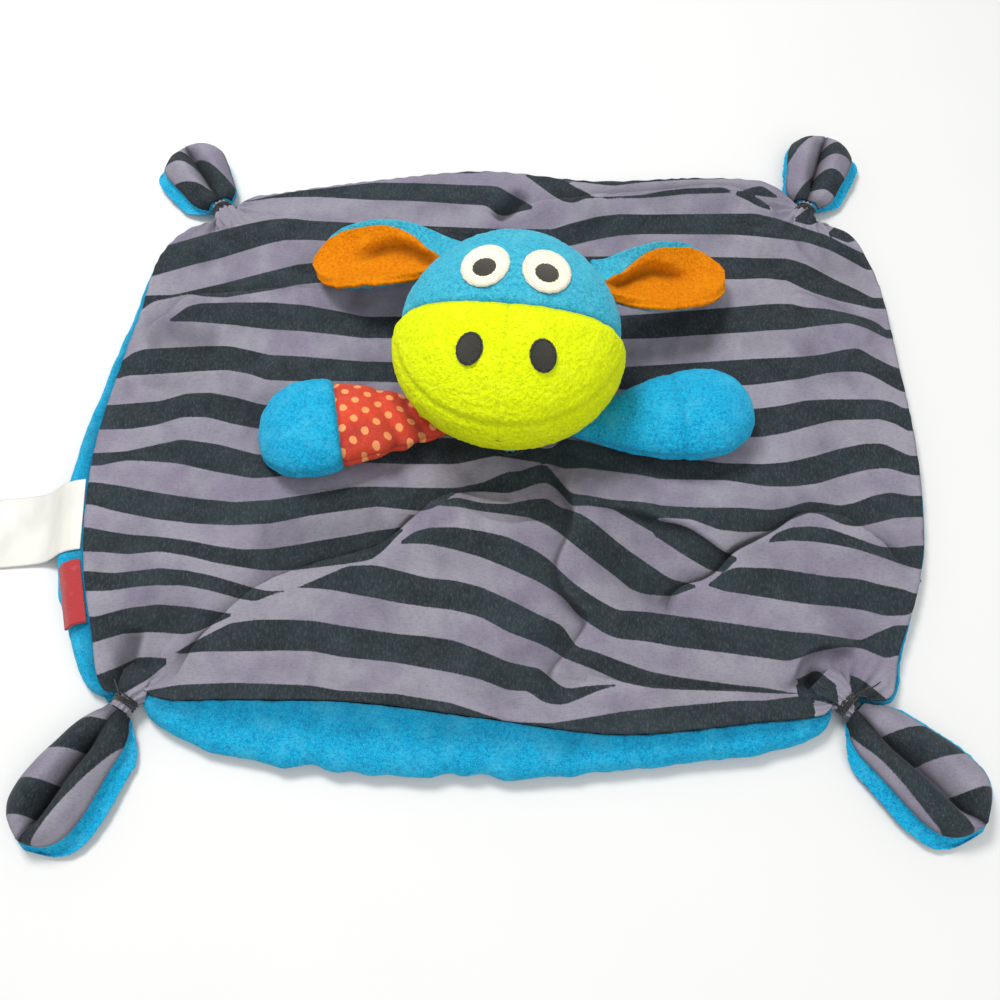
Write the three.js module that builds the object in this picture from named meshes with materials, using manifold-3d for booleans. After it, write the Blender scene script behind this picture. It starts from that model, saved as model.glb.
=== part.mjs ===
// A comfort blanket with a stuffed animal head, two arms and knotted corners, piece by piece in millimetres.
// X points right, Y points away from the front edge and Z points up. The origin lies on the table,
// under the stitch that holds the head.
import * as THREE from 'three';
import { mergeVertices } from 'three/addons/utils/BufferGeometryUtils.js';
import Module from 'manifold-3d';

const wasm = await Module();
wasm.setup();

// Cloths and clearances
const GAP = 0.3;
const COTTON_THICKNESS = 0.8;
const PLUSH_THICKNESS = 2.2;
const CUT_OVERRUN = 5;

// Blanket
const BLANKET_WIDTH = 334;
const BLANKET_DEPTH = 272;
const BLANKET_RISE = 8.4;
const SEAM_RISE = 14;
const FOLD_RISE = 5;
const FOLD_SPREAD = 10;
const FRONT_STEPS = 26;
const SIDE_STEPS = 20;
const HEM_BLEND_SHARE = 0.13;
const HEM_FOOT = 5;
const EDGE_FADE_POWER = 4;

// Gathered corners, each tied with thread
const NECK_RADIUS = 4.2;
const NECK_RISE = 6.6;
const NECK_TAPER_LENGTH = 7;
const NECK_TAIL_RADIUS = 1.6;
const NECK_SIDES = 10;
const CORNER_INSET = 6.5;
const TIE_THREAD = 1.1;
const TIE_LOOPS = 3;
const TIE_PITCH = 1.6;
const TIE_LOOP_STEPS = 12;
const TIE_SIDES = 4;
const LEAST_TURN_GAP = 0.4;

// Corner tufts, beyond the ties
const TUFT_LENGTH = 56;
const TUFT_WIDTH = 28.5;
const TUFT_RISE = 15;
const TUFT_CREASE = 5;
const TUFT_COTTON = 2.2;
const TUFT_RIM = 1.6;

// Head, a swelling form about its own centre
const HEAD_HALF_WIDTH = 43.6;
const HEAD_HALF_HEIGHT = 46.6;
const HEAD_HALF_DEPTH = 31;
const HEAD_FORWARD = 29.1;
const HEAD_SIDEWAYS = 0.8;
const HEAD_LIFT = 39.9;
const HEAD_YAW = -THREE.MathUtils.degToRad(6);
const CROWN_TAPER_SHARE = 0.02;
const MUZZLE_SEAM = -6.5;
const HEAD_RINGS = 14;
const HEAD_SIDES = 20;

// Face
const FACE_SIDEWAYS = 0.9;
const EYE_WIDTH = 18.4;
const EYE_HEIGHT = 21.6;
const EYE_SPREAD = 11.3;
const EYE_PLACE = 10.4;
const PATCH_THICKNESS = 1.2;
const PUPIL_WIDTH = 7.4;
const PUPIL_HEIGHT = 8;
const PUPIL_DROP = 2.6;
const NOSTRIL_WIDTH = 9.6;
const NOSTRIL_HEIGHT = 10.8;
const NOSTRIL_SPREAD = 12.9;
const NOSTRIL_PLACE = -24.5;
const PATCH_SIDES = 18;

// Ears
const EAR_LENGTH = 68;
const EAR_WIDTH = 32;
const EAR_CUP = 8;
const EAR_LINING = 1.4;
const EAR_BACK = 2.4;
const EAR_RIM = 1.6;
const EAR_ROOT_RISE = 0.5;
const EAR_ROOT_RUN = 6;
const EAR_ROOT_GAP = 0.6;

// Arms
const ARM_ROOT = 17;
const ARM_LENGTH = 82;
const ARM_WIDTH = 40;
const ARM_THICKNESS = 21;
const ARM_COVER = 1.6;
const ARM_SIDES = 10;
const ARM_ROOT_LIFT = 1.2;
const ARM_LEFT_PLACE = 11;
const ARM_RIGHT_PLACE = 1.5;

// Neck gather under the head and the thread round its foot
const NECK_GATHER_RADIUS = 7;
const NECK_GATHER_PLACE = 3;
const STITCH_THREAD = 1.2;
const STITCH_THREAD_SIDES = 6;
const STITCH_SIDES = 16;

// Labels in the left seam
const CARE_LABEL_WIDTH = 30;
const CARE_LABEL_LENGTH = 52;
const CARE_LABEL_PLACE_SHARE = -0.118;
const CARE_LABEL_THICKNESS = 0.7;
const TAB_WIDTH = 26;
const TAB_LENGTH = 8.8;
const TAB_PLACE_SHARE = -0.234;
const TAB_THICKNESS = 1.1;
const LABEL_OFFSET = 0.9;

const lovey = new THREE.Group();

// Materials, one look for each sort of cloth
function cloth(red, green, blue, roughness) {
  const colour = new THREE.Color().setRGB(red / 255, green / 255, blue / 255, THREE.SRGBColorSpace);
  return new THREE.MeshStandardMaterial({ color: colour, roughness, metalness: 0 });
}

const LOOKS = {
  striped: () => cloth(92, 84, 102, 0.9),
  turquoise: () => cloth(40, 160, 210, 0.95),
  lime: () => cloth(205, 225, 20, 0.95),
  orange: () => cloth(245, 145, 20, 0.95),
  dotted: () => cloth(195, 62, 40, 0.9),
  cream: () => cloth(240, 232, 205, 0.8),
  dark: () => cloth(45, 45, 38, 0.7),
  satin: () => cloth(235, 236, 238, 0.5),
  red: () => cloth(160, 30, 35, 0.6),
  filling: () => cloth(235, 235, 230, 1),
};

function place(name, look, geometry, group = lovey) {
  const mesh = new THREE.Mesh(geometry, LOOKS[look]());
  mesh.name = name;
  group.add(mesh);
  return mesh;
}

// Closed bodies from points and triangles
function signedVolume(points, faces) {
  const cross = new THREE.Vector3();
  return faces.reduce((sum, [a, b, c]) => sum + points[a].dot(cross.crossVectors(points[b], points[c])), 0);
}

function bodyOf(points, faces) {
  const outward = signedVolume(points, faces) > 0;
  const index = faces.flatMap(([a, b, c]) => (outward ? [a, b, c] : [a, c, b]));
  const geometry = new THREE.BufferGeometry().setFromPoints(points);
  geometry.setIndex(index);
  return geometry;
}

// Triangles of the band between two closed rings of point numbers
function band(lower, upper) {
  return lower.flatMap((a, k) => {
    const next = (k + 1) % lower.length;
    return [[a, lower[next], upper[next]], [a, upper[next], upper[k]]];
  });
}

function fan(ring, tip) {
  return ring.map((a, k) => [a, ring[(k + 1) % ring.length], tip]);
}

// A body lofted through closed rings, with a middle point at each end
function loft(rings) {
  const points = rings.flat();
  const size = rings[0].length;
  const numbers = rings.map((ring, r) => ring.map((_, k) => r * size + k));
  const middle = (ring) => ring.reduce((sum, p) => sum.add(p), new THREE.Vector3()).divideScalar(size);
  const first = points.push(middle(rings[0])) - 1;
  const last = points.push(middle(rings.at(-1))) - 1;
  const faces = numbers.slice(1).flatMap((ring, r) => band(numbers[r], ring));
  faces.push(...fan(numbers[0], first).map(([a, b, c]) => [b, a, c]), ...fan(numbers.at(-1), last));
  return bodyOf(points, faces);
}

// A sheet with a top and a bottom point at each place of a grid, closed along its rim
function sheet(rows) {
  const height = rows.length;
  const width = rows[0].length;
  const points = [...rows.flat().map((cell) => cell.top), ...rows.flat().map((cell) => cell.bottom)];
  const at = (r, c) => r * width + c;
  const under = width * height;
  const faces = [];
  for (let r = 0; r + 1 < height; r += 1) {
    for (let c = 0; c + 1 < width; c += 1) {
      const [a, b, d, e] = [at(r, c), at(r, c + 1), at(r + 1, c + 1), at(r + 1, c)];
      faces.push([a, b, d], [a, d, e], [under + a, under + d, under + b], [under + a, under + e, under + d]);
    }
  }
  const rim = [
    ...rows[0].map((_, c) => at(0, c)),
    ...rows.slice(1).map((_, r) => at(r + 1, width - 1)),
    ...rows[0].slice(1).map((_, c) => at(height - 1, width - 2 - c)),
    ...rows.slice(2).map((_, r) => at(height - 2 - r, 0)),
  ];
  rim.forEach((a, k) => {
    const b = rim[(k + 1) % rim.length];
    faces.push([a, under + a, under + b], [a, under + b, b]);
  });
  return bodyOf(points, faces);
}

// Joins and cuts
function solid(geometry) {
  const bare = geometry.clone();
  bare.deleteAttribute('normal');
  bare.deleteAttribute('uv');
  const merged = mergeVertices(bare);
  const vertProperties = new Float32Array(merged.attributes.position.array);
  const triVerts = new Uint32Array(merged.index.array);
  return new wasm.Manifold(new wasm.Mesh({ numProp: 3, vertProperties, triVerts }));
}

function geometryOf(body) {
  const mesh = body.getMesh();
  const geometry = new THREE.BufferGeometry();
  const positions = new Float32Array(mesh.vertProperties);
  geometry.setAttribute('position', new THREE.BufferAttribute(positions, mesh.numProp));
  geometry.setIndex([...mesh.triVerts]);
  return geometry;
}

function blockBetween(low, high) {
  const size = high.clone().sub(low);
  const box = new THREE.BoxGeometry(size.x, size.y, size.z);
  const middle = low.clone().add(high).divideScalar(2);
  return solid(box.translate(middle.x, middle.y, middle.z));
}

// Value at a share of the way through a table of [position share, value share] rows
function valueAt(table, share) {
  const next = Math.max(1, table.findIndex(([at]) => at >= share));
  const [from, to] = [table[next - 1], table[next]];
  return THREE.MathUtils.lerp(from[1], to[1], (share - from[0]) / (to[0] - from[0]));
}

// A group whose origin is a hinge, turned about the upright axis
function hinged(position, yaw, parent = lovey) {
  const group = new THREE.Group();
  group.position.copy(position);
  group.rotation.z = yaw;
  parent.add(group);
  return group;
}

// Corners: where each tie sits, as shares of the blanket, the way its tuft points and its length share
const CORNERS = {
  front_left: { knotShares: [-0.407, -0.386], heading: THREE.MathUtils.degToRad(-120), lengthShare: 1 },
  front_right: { knotShares: [0.359, -0.39], heading: THREE.MathUtils.degToRad(-46), lengthShare: 1.04 },
  back_right: { knotShares: [0.398, 0.449], heading: THREE.MathUtils.degToRad(71), lengthShare: 0.82 },
  back_left: { knotShares: [-0.38, 0.452], heading: THREE.MathUtils.degToRad(121), lengthShare: 0.75 },
};

function onBlanket([x, y], rise = 0) {
  return new THREE.Vector3(x * BLANKET_WIDTH, y * BLANKET_DEPTH, rise);
}

for (const corner of Object.values(CORNERS)) {
  corner.knot = onBlanket(corner.knotShares, NECK_RISE);
  corner.ahead = new THREE.Vector3(Math.cos(corner.heading), Math.sin(corner.heading), 0);
  corner.across = new THREE.Vector3(-Math.sin(corner.heading), Math.cos(corner.heading), 0);
  corner.tip = corner.knot.clone().addScaledVector(corner.ahead, -CORNER_INSET);
}

// Edges from corner to corner. Each row has the seam's x and y, the outermost plush line's x and y,
// all as shares of the blanket, and the seam's height as a share of SEAM_RISE.
const EDGE_SHARES = {
  front: [
    [-0.365, -0.386, -0.388, -0.424, 0.8], [-0.293, -0.388, -0.293, -0.456, 0.86],
    [-0.165, -0.393, -0.165, -0.476, 1], [-0.024, -0.415, -0.024, -0.48, 1],
    [0.114, -0.434, 0.114, -0.474, 0.86], [0.254, -0.419, 0.254, -0.455, 0.86],
    [0.335, -0.402, 0.342, -0.436, 0.7],
  ],
  right: [
    [0.405, -0.38, 0.411, -0.38, 0.46], [0.422, -0.324, 0.428, -0.324, 0.48],
    [0.464, -0.202, 0.47, -0.202, 0.45], [0.485, -0.037, 0.491, -0.037, 0.45],
    [0.485, 0.147, 0.491, 0.147, 0.45], [0.476, 0.324, 0.482, 0.324, 0.45],
    [0.449, 0.404, 0.455, 0.406, 0.5],
  ],
  back: [
    [0.38, 0.475, 0.38, 0.481, 0.57], [0.353, 0.507, 0.353, 0.513, 0.57],
    [0.27, 0.518, 0.27, 0.525, 0.57], [0.12, 0.511, 0.12, 0.518, 0.57], [-0.03, 0.533, -0.03, 0.54, 0.57],
    [-0.165, 0.515, -0.165, 0.522, 0.57], [-0.3, 0.486, -0.3, 0.493, 0.57],
    [-0.35, 0.472, -0.35, 0.479, 0.55],
  ],
  left: [
    [-0.42, 0.404, -0.434, 0.404, 0.65], [-0.449, 0.349, -0.457, 0.349, 0.72],
    [-0.461, 0.228, -0.475, 0.228, 0.8], [-0.47, 0.147, -0.488, 0.147, 0.86],
    [-0.485, -0.018, -0.512, -0.018, 0.86], [-0.476, -0.176, -0.51, -0.176, 0.86],
    [-0.455, -0.279, -0.487, -0.275, 0.8], [-0.429, -0.372, -0.447, -0.368, 0.6],
  ],
};
const CORNER_SEAM_SHARE = 0.6;

// Points of one edge: its seam line and its outermost line, from one corner to the next
function edgeLines(rows, from, to, steps) {
  const seamEnd = (corner) => corner.tip.clone().setZ(CORNER_SEAM_SHARE * SEAM_RISE);
  const outerEnd = (corner) => corner.tip.clone().addScaledVector(corner.ahead, GAP).setZ(0);
  const seamRows = rows.map(([x, y, , , rise]) => onBlanket([x, y], rise * SEAM_RISE));
  const outerRows = rows.map(([, , x, y]) => onBlanket([x, y]));
  const line = (points) => new THREE.CatmullRomCurve3(points, false, 'centripetal').getPoints(steps);
  return {
    seam: line([seamEnd(from), ...seamRows, seamEnd(to)]),
    outer: line([outerEnd(from), ...outerRows, outerEnd(to)]),
  };
}

const EDGES = {
  front: edgeLines(EDGE_SHARES.front, CORNERS.front_left, CORNERS.front_right, FRONT_STEPS),
  right: edgeLines(EDGE_SHARES.right, CORNERS.front_right, CORNERS.back_right, SIDE_STEPS),
  back: edgeLines(EDGE_SHARES.back, CORNERS.back_right, CORNERS.back_left, FRONT_STEPS),
  left: edgeLines(EDGE_SHARES.left, CORNERS.back_left, CORNERS.front_left, SIDE_STEPS),
};

// Main folds of the top cloth: paths as shares of the blanket, rise and spread as shares of the named ones
const FOLD_SHARES = [
  { path: [[-0.36, -0.35], [-0.27, -0.24], [-0.17, -0.18], [-0.1, -0.135], [-0.04, -0.11]], rise: 1.5, spread: 1 },
  { path: [[0.066, -0.1], [0.076, -0.13], [0.06, -0.2], [0.085, -0.28], [0.05, -0.4]], rise: 1.4, spread: 1 },
  { path: [[0.17, -0.25], [0.25, -0.185], [0.33, -0.13], [0.4, -0.15], [0.46, -0.19]], rise: 1.4, spread: 1.2 },
  { path: [[0.08, -0.105], [0.16, -0.115], [0.22, -0.15], [0.255, -0.185]], rise: 0.9, spread: 0.8 },
  { path: [[-0.01, 0.43], [0.08, 0.455], [0.18, 0.475], [0.29, 0.485], [0.36, 0.43]], rise: 1, spread: 0.8 },
  { path: [[-0.46, 0.195], [-0.42, 0.22], [-0.35, 0.265], [-0.23, 0.285]], rise: 0.9, spread: 0.9 },
  { path: [[0.31, -0.37], [0.315, -0.32], [0.36, -0.31]], rise: 1, spread: 0.7 },
  { path: [[-0.14, -0.12], [-0.05, -0.135], [0.05, -0.13]], rise: 0.7, spread: 0.7 },
];

function distanceToPath(point, path) {
  const nearest = new THREE.Vector3();
  const gaps = path.slice(1).map((end, k) => {
    new THREE.Line3(path[k], end).closestPointToPoint(point, true, nearest);
    return nearest.distanceTo(point);
  });
  return Math.min(...gaps);
}

const FOLDS = FOLD_SHARES.map(({ path, rise, spread }) => ({
  path: path.map((shares) => onBlanket(shares)),
  rise: rise * FOLD_RISE,
  spread: spread * FOLD_SPREAD,
}));

function foldRise(point) {
  const flat = point.clone().setZ(0);
  return FOLDS.reduce((sum, fold) => {
    const ratio = distanceToPath(flat, fold.path) / fold.spread;
    return Math.max(sum, fold.rise * Math.exp(-ratio * ratio));
  }, 0);
}

// A point of the patch that spans the four seams, u to the right and v away from the front. Between
// the four corners it is even, and what each seam adds to that fades quickly away from it.
function seamPatch(column, row) {
  const u = column / FRONT_STEPS;
  const v = row / SIDE_STEPS;
  const front = EDGES.front.seam[column];
  const back = EDGES.back.seam[FRONT_STEPS - column];
  const right = EDGES.right.seam[row];
  const left = EDGES.left.seam[SIDE_STEPS - row];
  const [frontLeft, frontRight] = [EDGES.front.seam[0], EDGES.front.seam[FRONT_STEPS]];
  const [backRight, backLeft] = [EDGES.back.seam[0], EDGES.back.seam[FRONT_STEPS]];
  const sides = [
    [front, frontLeft.clone().lerp(frontRight, u), v],
    [back, backLeft.clone().lerp(backRight, u), 1 - v],
    [left, frontLeft.clone().lerp(backLeft, v), u],
    [right, frontRight.clone().lerp(backRight, v), 1 - u],
  ];
  const point = sides[0][1].clone().lerp(sides[1][1], v);
  for (const [seam, straight, share] of sides) {
    point.addScaledVector(seam.clone().sub(straight), (1 - share) ** EDGE_FADE_POWER);
  }
  const inward = THREE.MathUtils.smoothstep(Math.min(u, 1 - u, v, 1 - v), 0, HEM_BLEND_SHARE);
  point.z = THREE.MathUtils.lerp(point.z, BLANKET_RISE, inward) + foldRise(point) * inward;
  return point;
}

// Top panel of striped cotton
function topPanel() {
  const rows = [];
  for (let row = 0; row <= SIDE_STEPS; row += 1) {
    const cells = [];
    for (let column = 0; column <= FRONT_STEPS; column += 1) {
      const top = seamPatch(column, row);
      cells.push({ top, bottom: top.clone().setZ(top.z - COTTON_THICKNESS) });
    }
    rows.push(cells);
  }
  return solid(sheet(rows));
}

// Backing of plush: flat on the table, then rolling outward and up to the seam on all four sides
const HEM_PROFILE_SHARES = [[0.05, 0.86], [0.42, 1], [0.82, 0.7], [1, 0]];

function hemRings(inset) {
  const edges = Object.values(EDGES);
  const seam = edges.flatMap((edge) => edge.seam.slice(1));
  const outer = edges.flatMap((edge) => edge.outer.slice(1));
  const middle = seam.reduce((sum, p) => sum.add(p), new THREE.Vector3()).divideScalar(seam.length).setZ(0);
  const foot = outer.map((p) => {
    const inward = middle.clone().sub(p).setLength(HEM_FOOT);
    return p.clone().add(inward).setZ(inset);
  });
  const rings = [foot];
  for (const [riseShare, reachShare] of HEM_PROFILE_SHARES) {
    rings.push(seam.map((top, k) => {
      const height = top.z - COTTON_THICKNESS - GAP;
      const rim = top.clone().setZ(0).lerp(outer[k], reachShare);
      const inward = middle.clone().sub(rim).setZ(0).setLength(inset * Math.sqrt(reachShare));
      const low = THREE.MathUtils.lerp(inset, height - inset, riseShare);
      return rim.add(inward).setZ(inset ? low : height * riseShare);
    }));
  }
  return { middle: middle.setZ(inset), rings };
}

function backing() {
  const outside = hemRings(0);
  const inside = hemRings(PLUSH_THICKNESS);
  const rings = [...outside.rings, ...inside.rings.reverse()];
  const size = rings[0].length;
  const points = rings.flat();
  const numbers = rings.map((ring, r) => ring.map((_, k) => r * size + k));
  const below = points.push(outside.middle) - 1;
  const above = points.push(inside.middle) - 1;
  const faces = numbers.slice(1).flatMap((ring, r) => band(numbers[r], ring));
  faces.push(...fan(numbers[0], below).map(([a, b, c]) => [b, a, c]), ...fan(numbers.at(-1), above));
  return solid(bodyOf(points, faces));
}

// Necks of gathered cloth that run through the ties
const TIE_HALF = (TIE_LOOPS * TIE_PITCH + TIE_THREAD) / 2;
const NECK_END = TIE_HALF + GAP;

const TUFT_HINGE = NECK_END + GAP + NECK_RADIUS;

// A round body about a corner's tie, from rows of [radius, place along the heading]
function aboutTie(corner, rows) {
  const profile = rows.map(([radius, reach]) => new THREE.Vector2(radius, reach));
  const turned = new THREE.LatheGeometry(profile, NECK_SIDES);
  turned.rotateZ(corner.heading - Math.PI / 2);
  return solid(turned.translate(corner.knot.x, corner.knot.y, corner.knot.z));
}

function neckCore(corner, grown) {
  const start = -NECK_TAPER_LENGTH - TIE_HALF - grown;
  const tail = NECK_TAIL_RADIUS + grown;
  const full = NECK_RADIUS + grown;
  return aboutTie(corner, [[0, start], [tail, start], [full, -TIE_HALF], [full, NECK_END], [0, NECK_END]]);
}

// Room for the winding and for the tuft's root, which the cloth beside a tie leaves free
function tieRoom(corner) {
  const radius = NECK_RADIUS + TIE_THREAD + 2 * GAP;
  const [start, end] = [-TIE_HALF - GAP, TUFT_HINGE + NECK_RADIUS];
  return aboutTie(corner, [[0, start], [radius, start], [radius, end], [0, end]]);
}

const everyCorner = Object.values(CORNERS);
const cutAtTies = (body) => everyCorner.reduce((left, corner) => left.subtract(tieRoom(corner)), body);
let panel = cutAtTies(topPanel());
let plush = cutAtTies(backing());
for (const corner of everyCorner) {
  panel = panel.subtract(neckCore(corner, GAP));
  plush = plush.add(neckCore(corner, 0));
}
place('blanket_top_panel', 'striped', geometryOf(panel));
place('blanket_backing', 'turquoise', geometryOf(plush));

// Thread wound round each neck, one unbroken tube
function windingRoute() {
  const radius = NECK_RADIUS + GAP + TIE_THREAD / 2;
  const steps = TIE_LOOPS * TIE_LOOP_STEPS;
  return Array.from({ length: steps + 1 }, (_, k) => {
    const turn = (2 * Math.PI * k) / TIE_LOOP_STEPS;
    const out = new THREE.Vector3(0, Math.cos(turn), Math.sin(turn));
    const advance = (k / steps - 1 / 2) * TIE_LOOPS * TIE_PITCH;
    return { out, centre: out.clone().multiplyScalar(radius).setX(advance) };
  });
}

function winding() {
  return loft(windingRoute().map(({ out, centre }) => Array.from({ length: TIE_SIDES }, (_, k) => {
    const turn = (2 * Math.PI * k) / TIE_SIDES;
    const point = centre.clone().addScaledVector(out, (Math.cos(turn) * TIE_THREAD) / 2);
    return point.setX(point.x + (Math.sin(turn) * TIE_THREAD) / 2);
  })));
}

function leastTurnGap() {
  const route = windingRoute();
  const gaps = route.flatMap((a, k) => route.slice(k + TIE_LOOP_STEPS / 2)
    .map((b) => a.centre.distanceTo(b.centre) - TIE_THREAD));
  return Math.min(...gaps);
}

const turnGap = leastTurnGap().toFixed(2);
console.log(`least gap between turns of a tie: ${turnGap} mm, wanted over ${LEAST_TURN_GAP}`);

// Places across a sheet of the given half width, with one more beyond each edge where it has a rim
function acrossSheet(shares, halfWidth, rim) {
  const places = shares.map((share) => share * halfWidth);
  return rim ? [-halfWidth - rim, ...places, halfWidth + rim] : places;
}

// Tufts: a leaf of plush with creased cotton on it, rounded about its hinge at the root
const TUFT_ROOT_ANGLES = [12, 45].map((angle) => THREE.MathUtils.degToRad(angle));
const TUFT_COLUMN_SHARES = [-1, -0.45, 0, 0.45, 1];
const TUFT_ROW_SHARES = [0.3, 0.48, 0.66, 0.82, 0.93, 1];
const TUFT_WIDTH_SHARES = [
  [0, 0.26], [0.15, 0.28], [0.27, 0.48], [0.42, 0.76], [0.56, 0.94], [0.7, 1], [0.82, 0.93], [0.92, 0.7],
  [1, 0.36],
];
const TUFT_RISE_SHARES = [[0, 0.72], [0.15, 0.72], [0.42, 0.92], [0.6, 1], [0.82, 0.9], [1, 0.62]];
const TUFT_CREASE_SHARES = [[0, 0], [0.15, 0], [0.42, 1], [1, 1]];
const TUFT_EDGE_DROP_SHARE = 0.42;
const TUFT_EDGE_LIFT_SHARE = 0.14;
const TUFT_CREASE_WIDTH_SHARE = 0.3;

function tuftRow(length, distance) {
  const share = distance / length;
  return {
    reach: distance - TUFT_HINGE,
    halfWidth: (valueAt(TUFT_WIDTH_SHARES, share) * TUFT_WIDTH) / 2,
    rise: valueAt(TUFT_RISE_SHARES, share) * TUFT_RISE,
    crease: valueAt(TUFT_CREASE_SHARES, share) * TUFT_CREASE,
    low: distance > TUFT_HINGE ? 0 : NECK_RISE - NECK_RADIUS,
  };
}

function tuftTop(row, share) {
  const edge = Math.min(1, Math.abs(share));
  const ratio = share / TUFT_CREASE_WIDTH_SHARE;
  return row.rise * (1 - TUFT_EDGE_DROP_SHARE * edge * edge) - row.crease * Math.exp(-ratio * ratio);
}

function tuftLength(corner) {
  return TUFT_LENGTH * corner.lengthShare;
}

function tuftRows(corner) {
  const length = tuftLength(corner);
  return [tuftRow(length, TUFT_HINGE), ...TUFT_ROW_SHARES.map((share) => tuftRow(length, share * length))];
}

function tuftCotton(corner) {
  return sheet(tuftRows(corner).map((row) => acrossSheet(TUFT_COLUMN_SHARES, row.halfWidth, 0).map((y) => {
    const top = new THREE.Vector3(row.reach, y, tuftTop(row, y / row.halfWidth) - NECK_RISE);
    return { top, bottom: top.clone().setZ(top.z - TUFT_COTTON) };
  })));
}

function tuftPlush(corner) {
  const rootWidth = (valueAt(TUFT_WIDTH_SHARES, 0) * TUFT_WIDTH) / 2;
  const root = TUFT_ROOT_ANGLES.map((angle) => acrossSheet(TUFT_COLUMN_SHARES, rootWidth, GAP).map((y) => {
    const top = new THREE.Vector3(-Math.cos(angle) * NECK_RADIUS, y, Math.sin(angle) * NECK_RADIUS);
    return { top, bottom: top.clone().setZ(-top.z) };
  }));
  const leaf = tuftRows(corner).map((row) => {
    const places = acrossSheet(TUFT_COLUMN_SHARES, row.halfWidth, TUFT_RIM);
    return places.map((y) => {
      const share = y / row.halfWidth;
      const top = new THREE.Vector3(row.reach, y, tuftTop(row, share) - TUFT_COTTON - GAP - NECK_RISE);
      const bottom = row.low + row.rise * TUFT_EDGE_LIFT_SHARE * Math.min(1, share * share);
      return { top, bottom: top.clone().setZ(bottom - NECK_RISE) };
    });
  });
  return sheet([...root, ...leaf]);
}

for (const [name, corner] of Object.entries(CORNERS)) {
  place(`tie_${name}`, 'dark', winding(), hinged(corner.knot, corner.heading));
  const hinge = hinged(corner.knot.clone().addScaledVector(corner.ahead, TUFT_HINGE), corner.heading);
  hinge.name = `tuft_${name}_hinge`;
  place(`tuft_${name}_top`, 'striped', tuftCotton(corner), hinge);
  place(`tuft_${name}_back`, 'turquoise', tuftPlush(corner), hinge);
}

// Head: plush covers round a filling, cut along the seams of the real one
const head = hinged(new THREE.Vector3(HEAD_SIDEWAYS, HEAD_FORWARD, HEAD_LIFT), HEAD_YAW);

function headForm(inset, sides = HEAD_SIDES, rings = HEAD_RINGS) {
  const form = new THREE.SphereGeometry(1, sides, rings);
  const points = form.attributes.position;
  for (let k = 0; k < points.count; k += 1) {
    const taper = 1 - CROWN_TAPER_SHARE * points.getY(k);
    const x = points.getX(k) * (HEAD_HALF_WIDTH - inset) * taper;
    const y = points.getY(k) * (HEAD_HALF_HEIGHT - inset);
    points.setXYZ(k, x, y, points.getZ(k) * (HEAD_HALF_DEPTH - inset));
  }
  return solid(form);
}

const headReach = HEAD_HALF_WIDTH + HEAD_HALF_HEIGHT;
const headInside = headForm(PLUSH_THICKNESS, HEAD_SIDES / 2, HEAD_RINGS / 2);
const headCover = headForm(0).subtract(headInside);

// The part of the head's cover inside a box that ends half a gap short of each seam
function headPanel([x0, x1], [y0, y1], [z0, z1]) {
  const low = new THREE.Vector3(x0, y0, z0).addScalar(GAP / 2);
  const high = new THREE.Vector3(x1, y1, z1).addScalar(-GAP / 2);
  return geometryOf(headCover.intersect(blockBetween(low, high)));
}

const WHOLE = [-headReach, headReach];
place('head_crown', 'turquoise', headPanel(WHOLE, [MUZZLE_SEAM, headReach], [0, headReach]), head);
place('head_back', 'turquoise', headPanel(WHOLE, [MUZZLE_SEAM, headReach], [-headReach, 0]), head);
place('muzzle_left', 'lime', headPanel([-headReach, 0], [-headReach, MUZZLE_SEAM], [0, headReach]), head);
place('muzzle_right', 'lime', headPanel([0, headReach], [-headReach, MUZZLE_SEAM], [0, headReach]), head);
place('muzzle_chin', 'lime', headPanel(WHOLE, [-headReach, MUZZLE_SEAM], [-headReach, 0]), head);
const headFilling = headForm(PLUSH_THICKNESS + GAP, HEAD_SIDES / 2, HEAD_RINGS / 2);
place('head_stuffing', 'filling', geometryOf(headFilling), head);

// A sewn patch that follows the head's surface, seen as an oval from the front
function facePatch([x, y], width, height, lift) {
  const oval = new THREE.CylinderGeometry(1, 1, 1, PATCH_SIDES).rotateX(Math.PI / 2).translate(0, 0, 1 / 2);
  oval.scale(width / 2, height / 2, HEAD_HALF_DEPTH + lift + PATCH_THICKNESS).translate(x, y, 0);
  const layer = headForm(-lift - PATCH_THICKNESS).subtract(headForm(-lift));
  return geometryOf(layer.intersect(solid(oval)));
}

for (const [side, across] of [['left', -1], ['right', 1]]) {
  const eye = [FACE_SIDEWAYS + across * EYE_SPREAD, EYE_PLACE];
  const pupil = [FACE_SIDEWAYS + across * EYE_SPREAD, EYE_PLACE - PUPIL_DROP];
  const pupilLift = 2 * GAP + PATCH_THICKNESS;
  const nostril = [FACE_SIDEWAYS + across * NOSTRIL_SPREAD, NOSTRIL_PLACE];
  place(`eye_${side}`, 'cream', facePatch(eye, EYE_WIDTH, EYE_HEIGHT, GAP), head);
  place(`pupil_${side}`, 'dark', facePatch(pupil, PUPIL_WIDTH, PUPIL_HEIGHT, pupilLift), head);
  place(`nostril_${side}`, 'dark', facePatch(nostril, NOSTRIL_WIDTH, NOSTRIL_HEIGHT, GAP), head);
}

// Neck: a short plush gather from the blanket to the underside of the head, with its seam thread
function neckGather() {
  const height = HEAD_LIFT - BLANKET_RISE;
  const tube = new THREE.CylinderGeometry(NECK_GATHER_RADIUS, NECK_GATHER_RADIUS, height, STITCH_SIDES);
  tube.rotateX(Math.PI / 2).translate(HEAD_SIDEWAYS, NECK_GATHER_PLACE, BLANKET_RISE + GAP + height / 2);
  const room = headForm(-2 * GAP).rotate([0, 0, THREE.MathUtils.radToDeg(HEAD_YAW)]);
  return solid(tube).subtract(room.translate([HEAD_SIDEWAYS, HEAD_FORWARD, HEAD_LIFT]));
}

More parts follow.
